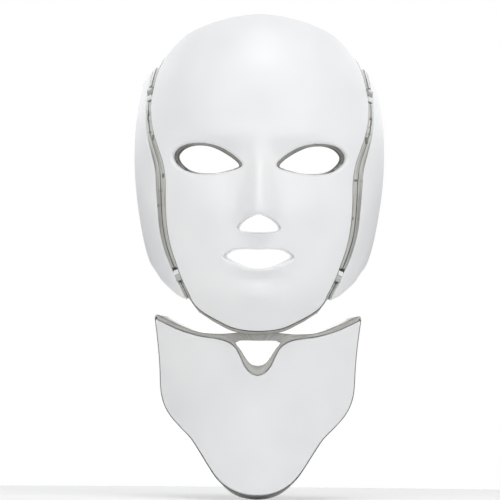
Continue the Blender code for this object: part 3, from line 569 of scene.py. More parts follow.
def white_plastic(name, low="e4e5e6", high="ededed"):
    """Satin moulded plastic: a very fine grain, slow flow marks, and gloss that varies a little."""
    n = Nodes(name)
    flow = n.noise(14.0, 2.0)
    grain = n.noise(1900.0, 2.0, 0.6)
    tone = n.ramp(flow, (0.3, lin(low)), (0.7, lin(high)))
    rough = n.span(n.noise(60.0, 3.0), 0.3, 0.7, 0.38, 0.47)
    slow = n.bump(n.noise(30.0, 1.0), 0.03, 0.0008)
    return n.set(Base_Color=tone, Roughness=rough, Normal=n.bump(grain, 0.05, 0.00008, slow), Coat_Weight=0.05, Coat_Roughness=0.25, Specular_IOR_Level=0.4)


def clear_sheet(name):
    """The thin clear sheet next to the skin: almost invisible square on, greyer where it is seen at a slant."""
    n = Nodes(name)
    slant = n.node("ShaderNodeLayerWeight", {"Blend": 0.35}).outputs["Facing"]
    flow = n.noise(22.0, 2.0)
    alpha = n.math("ADD", n.span(slant, 0.0, 1.0, 0.1, 0.55), n.span(flow, 0.3, 0.7, -0.015, 0.03))
    tone = n.ramp(slant, (0.0, lin("c9cbcc")), (1.0, lin("8f9190")))
    rough = n.span(n.noise(90.0, 2.0), 0.3, 0.7, 0.05, 0.12)
    n.mat.surface_render_method = "BLENDED"
    return n.set(Base_Color=tone, Alpha=alpha, Roughness=rough, Normal=n.bump(flow, 0.06, 0.001), IOR=1.49)


def clear_rim(name, dark, mid, light):
    """The sheet's thick edge: painted streaks of caught light run along the edge, and the tone attribute brings its
    painted shading, with darker border lines of painted shade.
    """
    n = Nodes(name)
    run, across, tone = n.read("run"), n.read("across"), n.read("tone")
    flow = n.node("ShaderNodeCombineXYZ", {"X": n.math("MULTIPLY", run, 0.055), "Y": n.math("MULTIPLY", across, 1.15), "Z": tone}).outputs[0]
    streak = n.noise(1.0, 3.0, 0.55, flow)
    fine = n.noise(3.2, 2.0, 0.5, flow)
    # The tone attribute's painted shading, with painted streaks of caught light along the edge.
    value = n.math("ADD", tone, n.math("ADD", n.span(streak, 0.25, 0.75, -0.24, 0.24), n.span(fine, 0.3, 0.7, -0.07, 0.07)))
    colour = n.ramp(value, (0.0, lin(dark)), (0.45, lin(mid)), (1.0, lin(light)))
    rough = n.span(fine, 0.3, 0.7, 0.08, 0.2)
    return n.set(Base_Color=colour, Roughness=rough, Normal=n.bump(streak, 0.25, 0.0004), Coat_Weight=0.4, Coat_Roughness=0.05, IOR=1.49)


def circuit_sheet(name):
    """A white flexible circuit: faint copper tracks under the solder mask, printed in rows."""
    n = Nodes(name)
    p = n.mapped((1.0, 1.0, 1.0))
    z = n.node("ShaderNodeSeparateXYZ", {"Vector": p}).outputs
    wave = n.math("PINGPONG", n.math("ADD", z[2], n.math("MULTIPLY", n.noise(9.0, 0.0), 0.004)), 0.0024)
    track = n.span(wave, 0.0006, 0.0009, 1.0, 0.0)
    gap = n.span(n.noise(70.0, 0.0), 0.46, 0.5, 0.0, 1.0)
    track = n.math("MULTIPLY", n.math("MINIMUM", n.math("MAXIMUM", track, 0.0), 1.0), gap)
    mask = n.ramp(n.noise(140.0, 2.0), (0.3, lin("e6e6df")), (0.7, lin("f0f0ec")))
    colour = n.mix(track, mask, (*lin("cfc4a8"), 1.0))
    return n.set(Base_Color=colour, Roughness=n.span(track, 0.0, 1.0, 0.42, 0.3), Normal=n.bump(track, 0.3, 0.00008))


def led_plastic(name):
    n = Nodes(name)
    tone = n.ramp(n.noise(420.0, 2.0), (0.3, lin("f1f1ee")), (0.7, lin("f8f8f6")))
    return n.set(Base_Color=tone, Roughness=n.span(n.noise(800.0), 0.3, 0.7, 0.2, 0.32), Normal=n.bump(n.noise(2500.0), 0.1, 0.00003))


def led_gel(name):
    """The soft yellowish filling over the chips."""
    n = Nodes(name)
    cell = n.node("ShaderNodeTexVoronoi", {"Vector": n.coords, "Scale": 700.0}).outputs["Distance"]
    tone = n.ramp(cell, (0.0, lin("d9b44a")), (0.6, lin("efd98a")))
    return n.set(Base_Color=tone, Roughness=n.span(cell, 0.0, 0.6, 0.1, 0.2), Subsurface_Weight=0.15, Coat_Weight=0.6, Coat_Roughness=0.04)


def metal(name, low, high, rough=(0.2, 0.34)):
    """Turned metal with fine scratches."""
    n = Nodes(name)
    scratch = n.noise(1.0, 3.0, 0.6, n.mapped((2600.0, 2600.0, 320.0)))
    tone = n.ramp(scratch, (0.3, lin(low)), (0.7, lin(high)))
    return n.set(Base_Color=tone, Metallic=1.0, Roughness=n.span(scratch, 0.3, 0.7, *rough), Normal=n.bump(scratch, 0.12, 0.00003))


def dark_plastic(name, low="161617", high="2a2a2b"):
    n = Nodes(name)
    tone = n.ramp(n.noise(160.0, 3.0), (0.3, lin(low)), (0.7, lin(high)))
    return n.set(Base_Color=tone, Roughness=n.span(n.noise(500.0), 0.3, 0.7, 0.34, 0.5), Normal=n.bump(n.noise(1800.0), 0.15, 0.00005))


def ribbon(name):
    """A flat white ribbon of parallel wires."""
    n = Nodes(name)
    z = n.node("ShaderNodeSeparateXYZ", {"Vector": n.coords}).outputs
    wave = n.math("PINGPONG", z[2], 0.0005)
    # The grooves between the wires are painted darker: painted shade in the creases.
    tone = n.ramp(n.span(wave, 0.0, 0.0005, 0.0, 1.0), (0.0, lin("c9c9c6")), (0.5, lin("ebebe8")))
    return n.set(Base_Color=tone, Roughness=n.span(n.noise(300.0), 0.3, 0.7, 0.35, 0.5), Normal=n.bump(wave, 0.5, 0.0002))


WHITE = white_plastic("white_shell")
WHITE_LUG = white_plastic("white_lug", "e9e9e9", "f3f3f3")
CLEAR = clear_sheet("clear_sheet")
RIM_LOOK = clear_rim("clear_rim", "6f6f6a", "aeada8", "d4d4d1")
# The eye collar's rim colours, darker than the clear rim's: painted shade where the collar slopes down into the eye
# openings.
EYE_RIM_SHADED = clear_rim("eye_rim_shaded", "4f4f4a", "858580", "bdbdb9")
CIRCUIT = circuit_sheet("led_board")
LED_CASE = led_plastic("led_case")
LED_GEL = led_gel("led_gel")
STEEL = metal("steel", "8f9193", "c3c5c7")
COPPER = metal("contact", "b9a46a", "d8c793")
DARK = dark_plastic("socket")
GREY_TAB = dark_plastic("grey_tab", "55554f", "6f6f69")
RIBBON = ribbon("flat_lead")


# ---------------------------------------------------------------- outlines in (s, z)
def to_s(points, measure=along):
    return [(measure(x, z), z) for x, z in points]


FACE_HALF = to_s(FACE_TOP) + to_s(FACE_STRIP) + to_s(FACE_CHIN)
FACE_OUTLINE = smooth_loop(mirrored(FACE_HALF), 2.0)
STRIP_FACE, STRIP_WING = spline([(z, s) for s, z in to_s(FACE_STRIP)]), spline([(z, s) for s, z in to_s(WING_STRIP)])
WING_CONTROL = (
    list(reversed(to_s(WING_STRIP)))
    + [(float(HALF_WIDTH(z)) * p, z) for p, z in reversed(WING_REAR)]
    + list(reversed(to_s(WING_REAR_LOW)))
)
WING_OUTLINE = smooth_loop(WING_CONTROL, 2.0, sharp=(0, len(WING_STRIP) - 1))
LIP = 2.6  # depth of the eye lip's inner edge
COLLAR_TOP, COLLAR_LOW = 3.0, 5.2  # the clear collar slopes from the shell's lip down to the see-through opening


def seen_at_depth(points, depth, keep_in=None):
    """Places in (s, z) that, at a depth below the surface, lie at the given x: kept just inside a loop."""
    loop = np.array([(float(HALF_WIDTH(z)) * math.asin(x / (float(HALF_WIDTH(z)) - depth)), z) for x, z in points])
    out = ~within(loop, keep_in) if keep_in is not None else np.zeros(len(loop), bool)
    for i in np.nonzero(out)[0]:
        loop[i] = keep_in[((keep_in - loop[i]) ** 2).sum(1).argmin()]
    return [tuple(q) for q in loop]


EYE_OUT = smooth_loop(seen_at_depth(EYE_SHELL, LIP), 1.5)
EYE_IN = smooth_loop(seen_at_depth(EYE_LINER, COLLAR_LOW, offset(EYE_OUT, -0.6)), 1.5)
NOSE_OUT = smooth_loop(mirrored(to_s(NOSE_SHELL)), 1.5)
MOUTH_OUT = smooth_loop(mirrored(to_s(MOUTH_SHELL)), 1.7)
NECK_CONTROL = mirrored(to_s(list(reversed(NECK_SIDE)) + list(reversed(NECK_TOP)), neck_along))
NECK_OUTLINE = smooth_loop(NECK_CONTROL, 2.2, sharp=(len(NECK_SIDE) - 1, len(NECK_CONTROL) - len(NECK_SIDE) + 1))
NECK_LINER_SIDE = [(x + 1.0, z) for x, z in NECK_SIDE[:-4]] + [(x + 0.5, z - 0.9) for x, z in NECK_SIDE[-4:-1]] + [(0, -268.7)]
NECK_LINER_OUTLINE = smooth_loop(
    mirrored(to_s(list(reversed(NECK_LINER_SIDE)) + [(83.8, -125.2), (81, -124.4)] + list(reversed(NECK_LINER_TOP)), neck_along)), 2.2
)
NOTCH = smooth_loop(mirrored(to_s(NECK_NOTCH, neck_along)), 1.6)


def strip_mid(z):
    return 0.5 * (STRIP_FACE(z) + STRIP_WING(z))


# The strip's story down each side, by height: where the two clear edges draw apart, and where each makes room.
WINDOWS = {1: [(33.8, 28.2), (26.6, 22.6)], -1: [(36.0, 30.8)]}
LUG_ROOM = {1: (50.0, -90.0), -1: (51.0, -90.0)}


def gap_at(side, z):
    """The width of the split between the two clear edges."""
    wide = 0.7
    for top, low in WINDOWS[side]:
        inside = soft_step(z, low - 0.5, low + 0.5) * (1 - soft_step(z, top - 0.5, top + 0.5))
        wide = wide + inside * 2.7
    return wide


def bay_at(z):
    """1 where a hinge needs the room of the clear edges, else 0."""
    up = soft_step(z, HINGE_Z[0] - 3.4, HINGE_Z[0] - 2.8) * (1 - soft_step(z, HINGE_Z[0] + 7.7, HINGE_Z[0] + 8.3))
    low = soft_step(z, HINGE_Z[1] - 8.3, HINGE_Z[1] - 7.7) * (1 - soft_step(z, HINGE_Z[1] + 2.8, HINGE_Z[1] + 3.4))
    return np.maximum(up, low)


def strip_edge(side, way, zs):
    """The clear edge of the face (way -1) or of a wing (way 1) along the split."""
    zs = np.asarray(zs, float)
    free = strip_mid(zs) + way * 0.5 * gap_at(side, zs)
    tight = (STRIP_FACE(zs) + 0.75) if way < 0 else (STRIP_WING(zs) - 0.75)
    b = bay_at(zs)
    return np.stack([free * (1 - b) + tight * b, zs], 1)


DENSE = np.concatenate([np.arange(74.6, 60.0, -1.5), np.arange(60.0, 45.0, -0.45), np.arange(45, 37.5, -1.5), np.arange(37.5, 21.5, -0.45),
                        np.arange(21.5, -84.0, -1.8), np.arange(-84.0, -101.0, -0.45), np.arange(-101.0, -112.6, -1.5)])


def face_liner_outline():
    """Over the top and round the chin the liner keeps inside or just outside the shell; down the sides it ends at the split."""
    right = strip_edge(1, -1, DENSE)
    left = strip_edge(-1, -1, DENSE)
    top = [(s, z - 0.4) for s, z in to_s(FACE_TOP[:-1])]
    chin = [(s + 1.0, z - 2.6) for s, z in to_s(FACE_CHIN[:2])] + [(along(18, -135) + 0.6, -138.0), (0, -139.9)]
    crown = [(-s, z) for s, z in reversed(top[1:])] + top
    upper = smooth_open(crown, 2.0)
    lower = smooth_open(chin + [(-s, z) for s, z in reversed(chin[:-1])], 2.0)
    left_up = np.array([(-s, z) for s, z in left[::-1]])
    return np.concatenate([upper, right, lower, left_up])


def smooth_open(points, step):
    loop = smooth_loop(points, step, sharp=(0, len(points) - 1))
    end = np.array(points[-1], float)
    last = int(np.linalg.norm(loop - end, axis=1).argmin())
    return loop[: last + 1]


def wing_liner_outline(side):
    edge = strip_edge(side, 1, DENSE)
    rear = [(float(HALF_WIDTH(z)) * p - 0.4, z) for p, z in WING_REAR] + []
    low = [(s - 0.3, z + 0.3) for s, z in to_s(WING_REAR_LOW)]
    # up the split, over to the rear edge, down it, and back along the lower edge
    back = smooth_open([tuple(q) for q in ([(float(HALF_WIDTH(z)) * p - 0.4, z) for p, z in reversed(WING_REAR)] + list(reversed(low)))], 2.0)
    return sided(side, np.concatenate([edge[::-1], back]))


# ---------------------------------------------------------------- shells
def screw_posts(body, surface, spots, low=RIM):
    """Posts under a shell, each with a rounded foot."""
    for s, z in spots:
        foot, normal = spot(surface, s, z, 0)
        profile = [(1.45, -low - 0.02), (1.6, -low), (3.1, -low), (3.35, -low + 0.3), (3.4, -3.0), (4.1, -1.7), (4.1, -1.2), (1.0, -1.2)]
        body.add(*turned(foot, normal, profile, 28))


def shell(name, surface, outer, holes, radii, grid, posts, replaced, rides, fine=(), shallow=()):
    """A white shell: rounded edges of the given radii, a turned-in rim along each edge, thin in between."""
    loops = [outer, *holes]
    rings = []
    for i, (loop, r) in enumerate(zip(loops, radii)):
        rings += edge_rings(loop, i == 0, r, (RIM_WIDE, RIM_WIDE + 0.9))
    at, tri = mesh_plate(outer, holes, rings, grid, fine=fine)
    top, reach = np.zeros(len(at)), np.full(len(at), 1e9)
    for loop, r in zip(loops, radii):
        far, _ = nearest(at, loop)
        top += round_off(far, r)
        reach = np.minimum(reach, far)
    deep = np.full(len(at), RIM)
    for i in shallow:
        deep = np.where(nearest(at, loops[i])[0] < 6.0, 4.7, deep)
    bottom = -deep + (deep - SHELL) * soft_step(reach, RIM_WIDE - 0.1, RIM_WIDE + 1.0)
    top = np.maximum(top, -RIM + 1.0)
    body = Body()
    body.add(*skin_of(surface, at, tri, top, bottom))
    screw_posts(body, surface, posts)
    obj = body.make(name, [WHITE], 40)
    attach(obj, rides)
    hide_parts(replaced)
    return obj


FACE_SCREWS = {
    "left_forehead_screw": (38, 92), "right_forehead_screw": (-38, 92),
    "left_temple_screw": (80, 28), "right_temple_screw": (-80, 28),
    "left_jaw_screw": (56, -92), "right_jaw_screw": (-56, -92),
}
WING_SCREWS = {"upper_wing_screw": (float(strip_mid(44)) + 28, 44), "lower_wing_screw": (float(strip_mid(-66)) + 22, -66)}
NECK_SCREWS = {
    "left_collar_screw": (68, -144), "right_collar_screw": (-68, -144),
    "left_chest_screw": (30, -238), "right_chest_screw": (-30, -238),
}


shell(
    "face_shell_form", head, FACE_OUTLINE, [EYE_OUT, flip(EYE_OUT), NOSE_OUT, MOUTH_OUT], [0.8, LIP, LIP, 1.5, 1.5], 3.0,
    FACE_SCREWS.values(), "face_shell", "face",
    fine=[(np.array([(-22, 12), (-22, -64), (22, -64), (22, 12)], float), 1.8)], shallow=(1, 2),
)
for side, word in ((1, "left"), (-1, "right")):
    shell(
        word + "_wing_shell_form", head, sided(side, WING_OUTLINE), [], [0.8], 3.2,
        [(side * s, z) for s, z in WING_SCREWS.values()], word + "_wing_shell", word + "_wing",
    )
shell("neck_shell_form", neck, NECK_OUTLINE, [], [0.8], 3.4, NECK_SCREWS.values(), "neck_shell", "neck_shield")


# ---------------------------------------------------------------- liners
def liner(name, surface, outer, holes, cover, grid, screws, replaced, rides, tone, eyes=(), raised_top=FLANGE_TOP, low=FLANGE_LOW):
    """A clear sheet under a shell. Where it shows past the shell's outline (cover) it stands up as a thick rim.
    Round the eyes (eyes: pairs of the shell's and the liner's own loops) it shows as a sloping band in painted shade."""
    holes = list(holes) + [np.array([(s + 1.6 * math.cos(t), z + 1.6 * math.sin(t)) for t in np.linspace(0, 2 * math.pi, 17)[:-1]]) for s, z in screws]
    rings = [offset(outer, -d) for d in (0.12, 0.3, 0.55, 0.9, 1.5)] + [offset(cover, d) for d in (0.2, 0.32, 0.55, 0.8, 1.3, 1.9)]
    for wide, tight in eyes:
        rings += [offset(tight, d) for d in (0.2, 0.5, 0.9, 1.4, 2.0)] + [wide, offset(wide, -0.25), offset(wide, 0.4), offset(wide, 1.2)]
    at, tri = mesh_plate(outer, holes, rings, grid)
    seam, seam_run = nearest(at, cover)
    out = ~within(at, cover)
    seam = np.where(out, seam, -seam)
    edge, run = nearest(at, outer)
    up = soft_step(seam, 0.22, 0.34)
    top = -LINER_TOP + (LINER_TOP - raised_top) * up
    top = top + up * round_off(edge, 0.6) + up * round_off(np.maximum(seam - 0.3, 0), 0.3) + up * 0.12 * np.exp(-(((edge - 0.8) / 0.3) ** 2))
    thin = up * soft_step(seam, 1.5, 2.0)
    bottom = -LINER_SKIN + (LINER_SKIN - low) * thin
    top = np.where(up < 0.5, top + round_off(edge, 0.5), top)
    top = np.maximum(top, bottom + 0.35)
    # Painted shade: dark lines along the sheet's outer edge and along its seam with the shell.
    edge_shade_lines = np.minimum(np.abs(edge - 0.05), np.abs(seam - 0.3))
    shade = tone(at, seam, edge) - 0.42 * np.exp(-((edge_shade_lines / 0.33) ** 2))
    across = np.where(out, seam, edge)
    kind = np.zeros(len(tri), int)
    kind[out[tri].all(1)] = 1
    for wide, tight in eyes:
        gap, _ = nearest(at, tight)
        rise, eye_run = nearest(at, wide)
        inside = within(at, wide)
        span = np.maximum(gap + rise, 1e-6)
        frac = gap / span
        collar = -COLLAR_LOW + (COLLAR_LOW - COLLAR_TOP) * frac + 0.25 * np.exp(-(((gap - 0.5) / 0.25) ** 2)) + round_off(gap, 0.3)
        under = -COLLAR_LOW - 0.6 - (LINER_SKIN - COLLAR_LOW - 0.6) * soft_step(gap, 0.0, 2.6)
        near = gap < 8.0
        bottom = np.where(near, np.maximum(bottom, under), bottom)
        top = np.where(near, np.maximum(top, bottom + 0.4), top)
        top = np.where(inside & (rise > 0.1), collar, top)
        # The eye collar's painted shading: a painted highlight along its middle, painted shade at the see-through edge
        # and towards the outer tip, and painted light over the lower part, which faces up.
        ridge = np.exp(-(((frac - 0.55) / 0.16) ** 2))
        tip = soft_step(np.abs(at[:, 0]), 52.0, 66.0)
        shade = np.where(inside, 0.42 + 0.3 * ridge - 0.3 * np.exp(-((gap / 0.4) ** 2)) - 0.34 * tip, shade)
        sag = -5.0 + (np.abs(at[:, 0]) - 16.0) * 0.13 - at[:, 1]
        shade = np.where(inside, shade + 0.45 * soft_step(sag, 1.0, 4.5) * (1 - soft_step(np.abs(at[:, 0]), 52.0, 64.0)), shade)
        across = np.where(inside, gap, across)
        run = np.where(inside, eye_run, run)
        kind[(inside | (rise < 1e-4))[tri].all(1)] = 2
    points, faces = skin_of(surface, at, tri, top, bottom)
    wall = len(faces) - 2 * len(tri)
    kinds = list(kind) + list(kind)
    side_of = {}
    for t, k in zip(tri, kind):
        for q in range(3):
            side_of[(int(t[q]), int(t[(q + 1) % 3]))] = int(k)
    kinds += [side_of.get((f[0], f[3]), 0) for f in faces[2 * len(tri) :]]
    twice = lambda v: np.concatenate([v, v])
    body = Body()
    body.add(points, faces, kinds, run=twice(run), across=twice(across), tone=twice(shade))
    obj = body.make(name, [CLEAR, RIM_LOOK, EYE_RIM_SHADED], 40)
    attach(obj, rides)
    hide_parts(replaced)
    return obj


def strip_joints_and_shading(side):
    """How light the strip is, in painted shading: lightest a little above eye height, painted darker low down and
    towards the top, with dark joints across it and, over the middle of its height, a painted highlight along it between
    two dark runs of painted shade.
    """

    def tone(at, seam, edge):
        z = at[:, 1]
        # Painted shade: lightest a little above eye height, darker low down and darker again towards the top.
        value = 0.58 - 0.17 * soft_step(-z, 5.0, 40.0) - 0.24 * soft_step(z, 18.0, 32.0) - 0.18 * soft_step(z, 46.0, 60.0)
        for joint in ((37.2, 38.6, 22.0, -24.8, -36.8) if side < 0 else (34.6, 21.6, -15.4, -17.2, -46.0)):
            value = value - 0.5 * np.exp(-(((z - joint) / 0.5) ** 2))
        across = (np.abs(at[:, 0]) - STRIP_FACE(z)) / np.maximum(STRIP_WING(z) - STRIP_FACE(z), 1.0)
        # A painted highlight along the middle of the strip, with a run of painted shade on each side of it.
        glint_span = soft_step(z, -12.0, -6.0) * (1 - soft_step(z, 14.0, 20.0))
        lens = np.exp(-(((across - 0.62) / 0.16) ** 2)) - 0.9 * np.exp(-(((across - 0.34) / 0.08) ** 2)) - 0.9 * np.exp(-(((across - 0.88) / 0.08) ** 2))
        return value + 0.34 * glint_span * lens

    return tone


def face_joints_and_shading(at, seam, edge):
    left, right = strip_joints_and_shading(1)(at, seam, edge), strip_joints_and_shading(-1)(at, seam, edge)
    value = np.where(at[:, 0] > 0, left, right)
    # Below the chin the rim is painted darker still: painted shade under the chin.
    return np.where(at[:, 1] < -113, 0.3, value)


def neck_rim_shading(at, seam, edge):
    z = at[:, 1]
    # Painted shading: darker towards the bottom, with two painted streaks of caught light running parallel to the
    # shell's edge.
    low = soft_step(-z, 168.0, 185.0)
    return 0.4 - 0.1 * low + 0.18 * np.exp(-(((seam - 1.9) / 0.45) ** 2)) + 0.15 * np.exp(-(((seam - 4.6) / 0.5) ** 2))


liner(
    "face_liner_form", head, face_liner_outline(), [EYE_IN, flip(EYE_IN), offset(NOSE_OUT, -0.8), offset(MOUTH_OUT, -0.8)], FACE_OUTLINE, 3.6,
    FACE_SCREWS.values(), "face_liner", "face", face_joints_and_shading, eyes=[(EYE_OUT, EYE_IN), (flip(EYE_OUT), flip(EYE_IN))],
)
for side, word in ((1, "left"), (-1, "right")):
    liner(
        word + "_wing_liner_form", head, wing_liner_outline(side), [], sided(side, WING_OUTLINE), 3.8,
        [(side * s, z) for s, z in WING_SCREWS.values()], word + "_wing_liner", word + "_wing", strip_joints_and_shading(side),
    )
liner("neck_liner_form", neck, NECK_LINER_OUTLINE, [NOTCH], NECK_OUTLINE, 4.0, NECK_SCREWS.values(), "neck_liner", "neck_shield", neck_rim_shading, low=LINER_SKIN)


# ---------------------------------------------------------------- LED boards
BOARDS = {
    "forehead_led_board": mirrored([(0, 104), (22, 102), (31, 96), (34, 86), (48, 86), (66, 72), (76, 54), (78, 38), (70, 26),
                                    (48, 23), (22, 20), (0, 24)]),
    "nose_led_board": mirrored([(0, 19), (12, 13), (10, 0), (8, -14), (12, -26), (12, -35), (0, -37)]),
    "left_cheek_led_board": [(26, -18), (46, -18), (64, -14), (78, -8), (82, -28), (80, -50), (76, -66), (66, -80),
                             (50, -82), (38, -74), (30, -62), (25, -46), (22, -32)],
    "chin_led_board": mirrored([(0, -93), (20, -92), (34, -92), (46, -98), (42, -110), (30, -119), (14, -126), (0, -128)]),
}
BOARDS["right_cheek_led_board"] = flip(BOARDS["left_cheek_led_board"])
WING_BOARD = [(float(STRIP_WING(z)) + 7, z) for z in (34, 16, 0, -16, -32, -48)] + [
    (float(STRIP_WING(z)) + 7 + w, z) for z, w in ((-50, 18), (-32, 26), (-14, 30), (4, 30), (22, 26), (34, 18))
]
NECK_BOARD = [(20, -160), (34, -154), (60, -150), (72, -160), (72, -184), (64, -202), (50, -216), (38, -228), (24, -228), (14, -214),
              (8, -198), (10, -180)]


def led_places(outline):
    """Rows of LEDs a pitch apart, well inside a board's outline."""
    top, low = float(outline[:, 1].max()), float(outline[:, 1].min())
    left, right = float(outline[:, 0].min()), float(outline[:, 0].max())
    middle = 0.5 * (left + right)
    spots, row, z = [], 0, 0.5 * (top + low) - LED_PITCH * math.floor(0.5 * (top - low) / LED_PITCH)
    while z < top:
        count = int((right - left) / LED_PITCH) + 2
        for k in range(-count, count + 1):
            s = middle + (k + (0.5 if row % 2 else 0.0)) * LED_PITCH
            near = np.sqrt(((outline - np.array([s, z])) ** 2).sum(1)).min()
            if within([(s, z)], outline)[0] and near > LED_SIDE * 0.5 + 3.4:
                spots.append((s, z))
        row += 1
        z += LED_PITCH
    return spots


def frame_at(surface, s, z, d):
    """A small flat frame on a surface: its point, and the ways along, up and out."""
    p, n = spot(surface, s, z, d)
    q, _ = spot(surface, s, z + 0.5, d)
    up = (q - p)
    up = (up - n * up.dot(n)).normalized()
    return p, up.cross(n).normalized(), up, n


def board(name, surface, control, step, rides):
    """A flexible board under a shell, with a real LED package at each place: case, cup, gel and two legs."""
    outline = smooth_loop(control, min(step, 2.5))
    coarse = smooth_loop(control, step)
    rings = [offset(outline, -0.35), offset(outline, -1.2)]
    at, tri = mesh_plate(outline, [], rings, 4.0)
    edge, _ = nearest(at, outline)
    top = -BOARD_TOP + round_off(edge, 0.3)
    bottom = -BOARD_SKIN - round_off(edge, 0.3)
    body = Body()
    body.add(*skin_of(surface, at, tri, top, bottom), kind=0)
    for s, z in led_places(coarse):
        p, right, up, out = frame_at(surface, s, z, -BOARD_SKIN)
        place = lambda u, v, w: p + right * u + up * v - out * w
        h = LED_SIDE / 2
        case = round_box(h, h, 0.5)
        cup = 1.9 / h
        # case with a round-cornered cup
        loops = [([(u, v) for u, v in case], 0.05), ([(u, v) for u, v in case], 1.0), ([(u * 0.95, v * 0.95) for u, v in case], 1.12),
                 ([(u * cup, v * cup) for u, v in case], 1.12), ([(u * cup * 0.86, v * cup * 0.86) for u, v in case], 0.7)]
        points, faces = [], []
        for loop, w in loops:
            points += [tuple(place(u, v, w)) for u, v in loop]
        n = len(case)
        for i in range(len(loops) - 1):
            for k in range(n):
                m = (k + 1) % n
                faces.append([i * n + k, (i + 1) * n + k, (i + 1) * n + m, i * n + m])
        faces.append(list(range(n)))
        faces.append([(len(loops) - 1) * n + k for k in reversed(range(n))])
        body.add(points, faces, kind=1)
        gel = [(u * cup * 0.93, v * cup * 0.93) for u, v in case]
        points = [tuple(place(u, v, 0.75)) for u, v in gel] + [tuple(place(u, v, 0.95)) for u, v in gel] + [
            tuple(place(u * 0.6, v * 0.6, 1.06)) for u, v in gel
        ]
        faces = [[k, k + n, (k + 1) % n + n, (k + 1) % n] for k in range(n)] + [[k + n, k + 2 * n, (k + 1) % n + 2 * n, (k + 1) % n + n] for k in range(n)]
        faces += [list(range(n)), [2 * n + k for k in reversed(range(n))]]
        body.add(points, faces, kind=2)
        for way in (-1, 1):
            for v0 in (-1.5, 0.0, 1.5):
                pts, fcs = prism(lambda a, b, c: place(way * (h + 0.25) + a, v0 + b, c), round_box(0.42, 0.38, 0.1, 2), [(0.02, 0), (0.16, 0), (0.2, -0.05)])
                body.add(pts, fcs, kind=3)
    obj = tidy(body.make(name + "_form", [CIRCUIT, LED_CASE, LED_GEL, COPPER], 40))
    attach(obj, rides)
    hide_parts(name)
    return obj


for name, control in BOARDS.items():
    board(name, head, control, 5.0 if "nose" in name else 10.0, "face")
for side, word in ((1, "left"), (-1, "right")):
    board(word + "_wing_led_board", head, sided(side, WING_BOARD), 11.0, word + "_wing")
    board(word + "_neck_led_board", neck, sided(side, NECK_BOARD), 11.0, "neck_shield")


# ---------------------------------------------------------------- screws
def screw(name, surface, s, z, rides):
    """A small domed screw with a crosswise recess, driven from the skin side."""
    foot, normal = spot(surface, s, z, -LINER_SKIN)
    deep = 5.1

    def star(t, i):
        return 1.0 if i >= 2 else 0.52 + 0.48 * abs(math.cos(2 * t)) ** 5

    profile = [(0.55, -0.75), (1.25, -1.42), (1.35, -1.5), (1.9, -1.42), (2.35, -1.12), (2.58, -0.75), (2.6, -0.4), (2.45, -0.3),
               (1.15, -0.3), (1.05, 0.1)]
    level = 0.3
    while level < deep - 0.8:
        profile += [(0.85, level), (1.1, level + 0.25), (0.85, level + 0.5)]
        level += 0.62
    profile += [(0.5, deep)]
    obj = tidy(Body().add(*turned(foot, normal, profile, 40, star)).make(name + "_form", [STEEL], 30))
    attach(obj, rides)
    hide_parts(name)
    return obj


for name, (s, z) in FACE_SCREWS.items():
    screw(name, head, s, z, "face")
for side, word in ((1, "left"), (-1, "right")):
    for key, (s, z) in WING_SCREWS.items():
        screw(word + "_" + key, head, side * s, z, word + "_wing")
for name, (s, z) in NECK_SCREWS.items():
    screw(name, neck, s, z, "neck_shield")


# ---------------------------------------------------------------- hinges
def hinge_line(side):
    top = spot(head, float(strip_mid(HINGE_Z[0])), HINGE_Z[0], -HINGE_DEPTH)[0]
    low = spot(head, float(strip_mid(HINGE_Z[1])) - 0.7, HINGE_Z[1], -HINGE_DEPTH)[0]
    if side < 0:
        top.x, low.x = -top.x, -low.x
    return top, low, (top - low).normalized()


def hinge_frame(side, z):
    top, low, up = hinge_line(side)
    point = low + (top - low) * ((z - low.z) / (top.z - low.z))
    normal = spot(head, float(strip_mid(z)), z, 0)[1]
    if side < 0:
        normal.x = -normal.x
    out = (normal - up * normal.dot(up)).normalized()
    rear = up.cross(out)
    if rear.y < 0:
        rear = -rear
    return point, up, rear, out


def link_form(gap, way):
    """The white link across the strip, seen along its pin: flush with the shells outside, round below the pin."""
    first, last = -(gap - 1.7), gap - 0.45
    foot = [(1.9 * math.cos(t), 1.9 * math.sin(t)) for t in np.linspace(math.radians(200), math.radians(340), 9)]
    return [(last, 2.0), (last, 4.15), (first, 4.15), (first, 1.2), *foot, (last - 0.4, 0.4)]


def stadium(half, r, step=6):
    right = [(half - r + r * math.cos(t), r * math.sin(t)) for t in np.linspace(-math.pi / 2, math.pi / 2, step * 2 + 1)]
    return right + [(-u, -v) for u, v in right]


def eye_form(reach, r, step=12):
    way = 1 if reach > 0 else -1
    loop = [(way * r * math.cos(t), r * math.sin(t)) for t in np.linspace(math.radians(55), math.radians(305), step * 2)]
    return [(reach, -1.45), (reach, 1.45), *loop]


def bored(place, loop, bore, low, high, bevel=0.35):
    """A link seen along its pin: its outline with a round bore, and edges rounded all over."""
    loop = np.asarray(loop, float)
    if area(loop) < 0:
        loop = loop[::-1]
    hole = np.array([(bore * math.cos(t), bore * math.sin(t)) for t in np.linspace(0, 2 * math.pi, 25)[:-1]])
    fine = smooth_loop([tuple(q) for q in loop], 0.4, sharp=range(len(loop)))
    rings = edge_rings(fine, True, bevel)
    at, tri = mesh_plate(fine, [hole], rings, 0.7)
    edge, _ = nearest(at, fine)
    fall = round_off(edge, bevel)
    surface = lambda u, v, w: (np.array([tuple(place(a, b, c)) for a, b, c in zip(u, v, w)]), None)
    return skin_of(surface, at, tri, high + fall, low - fall)


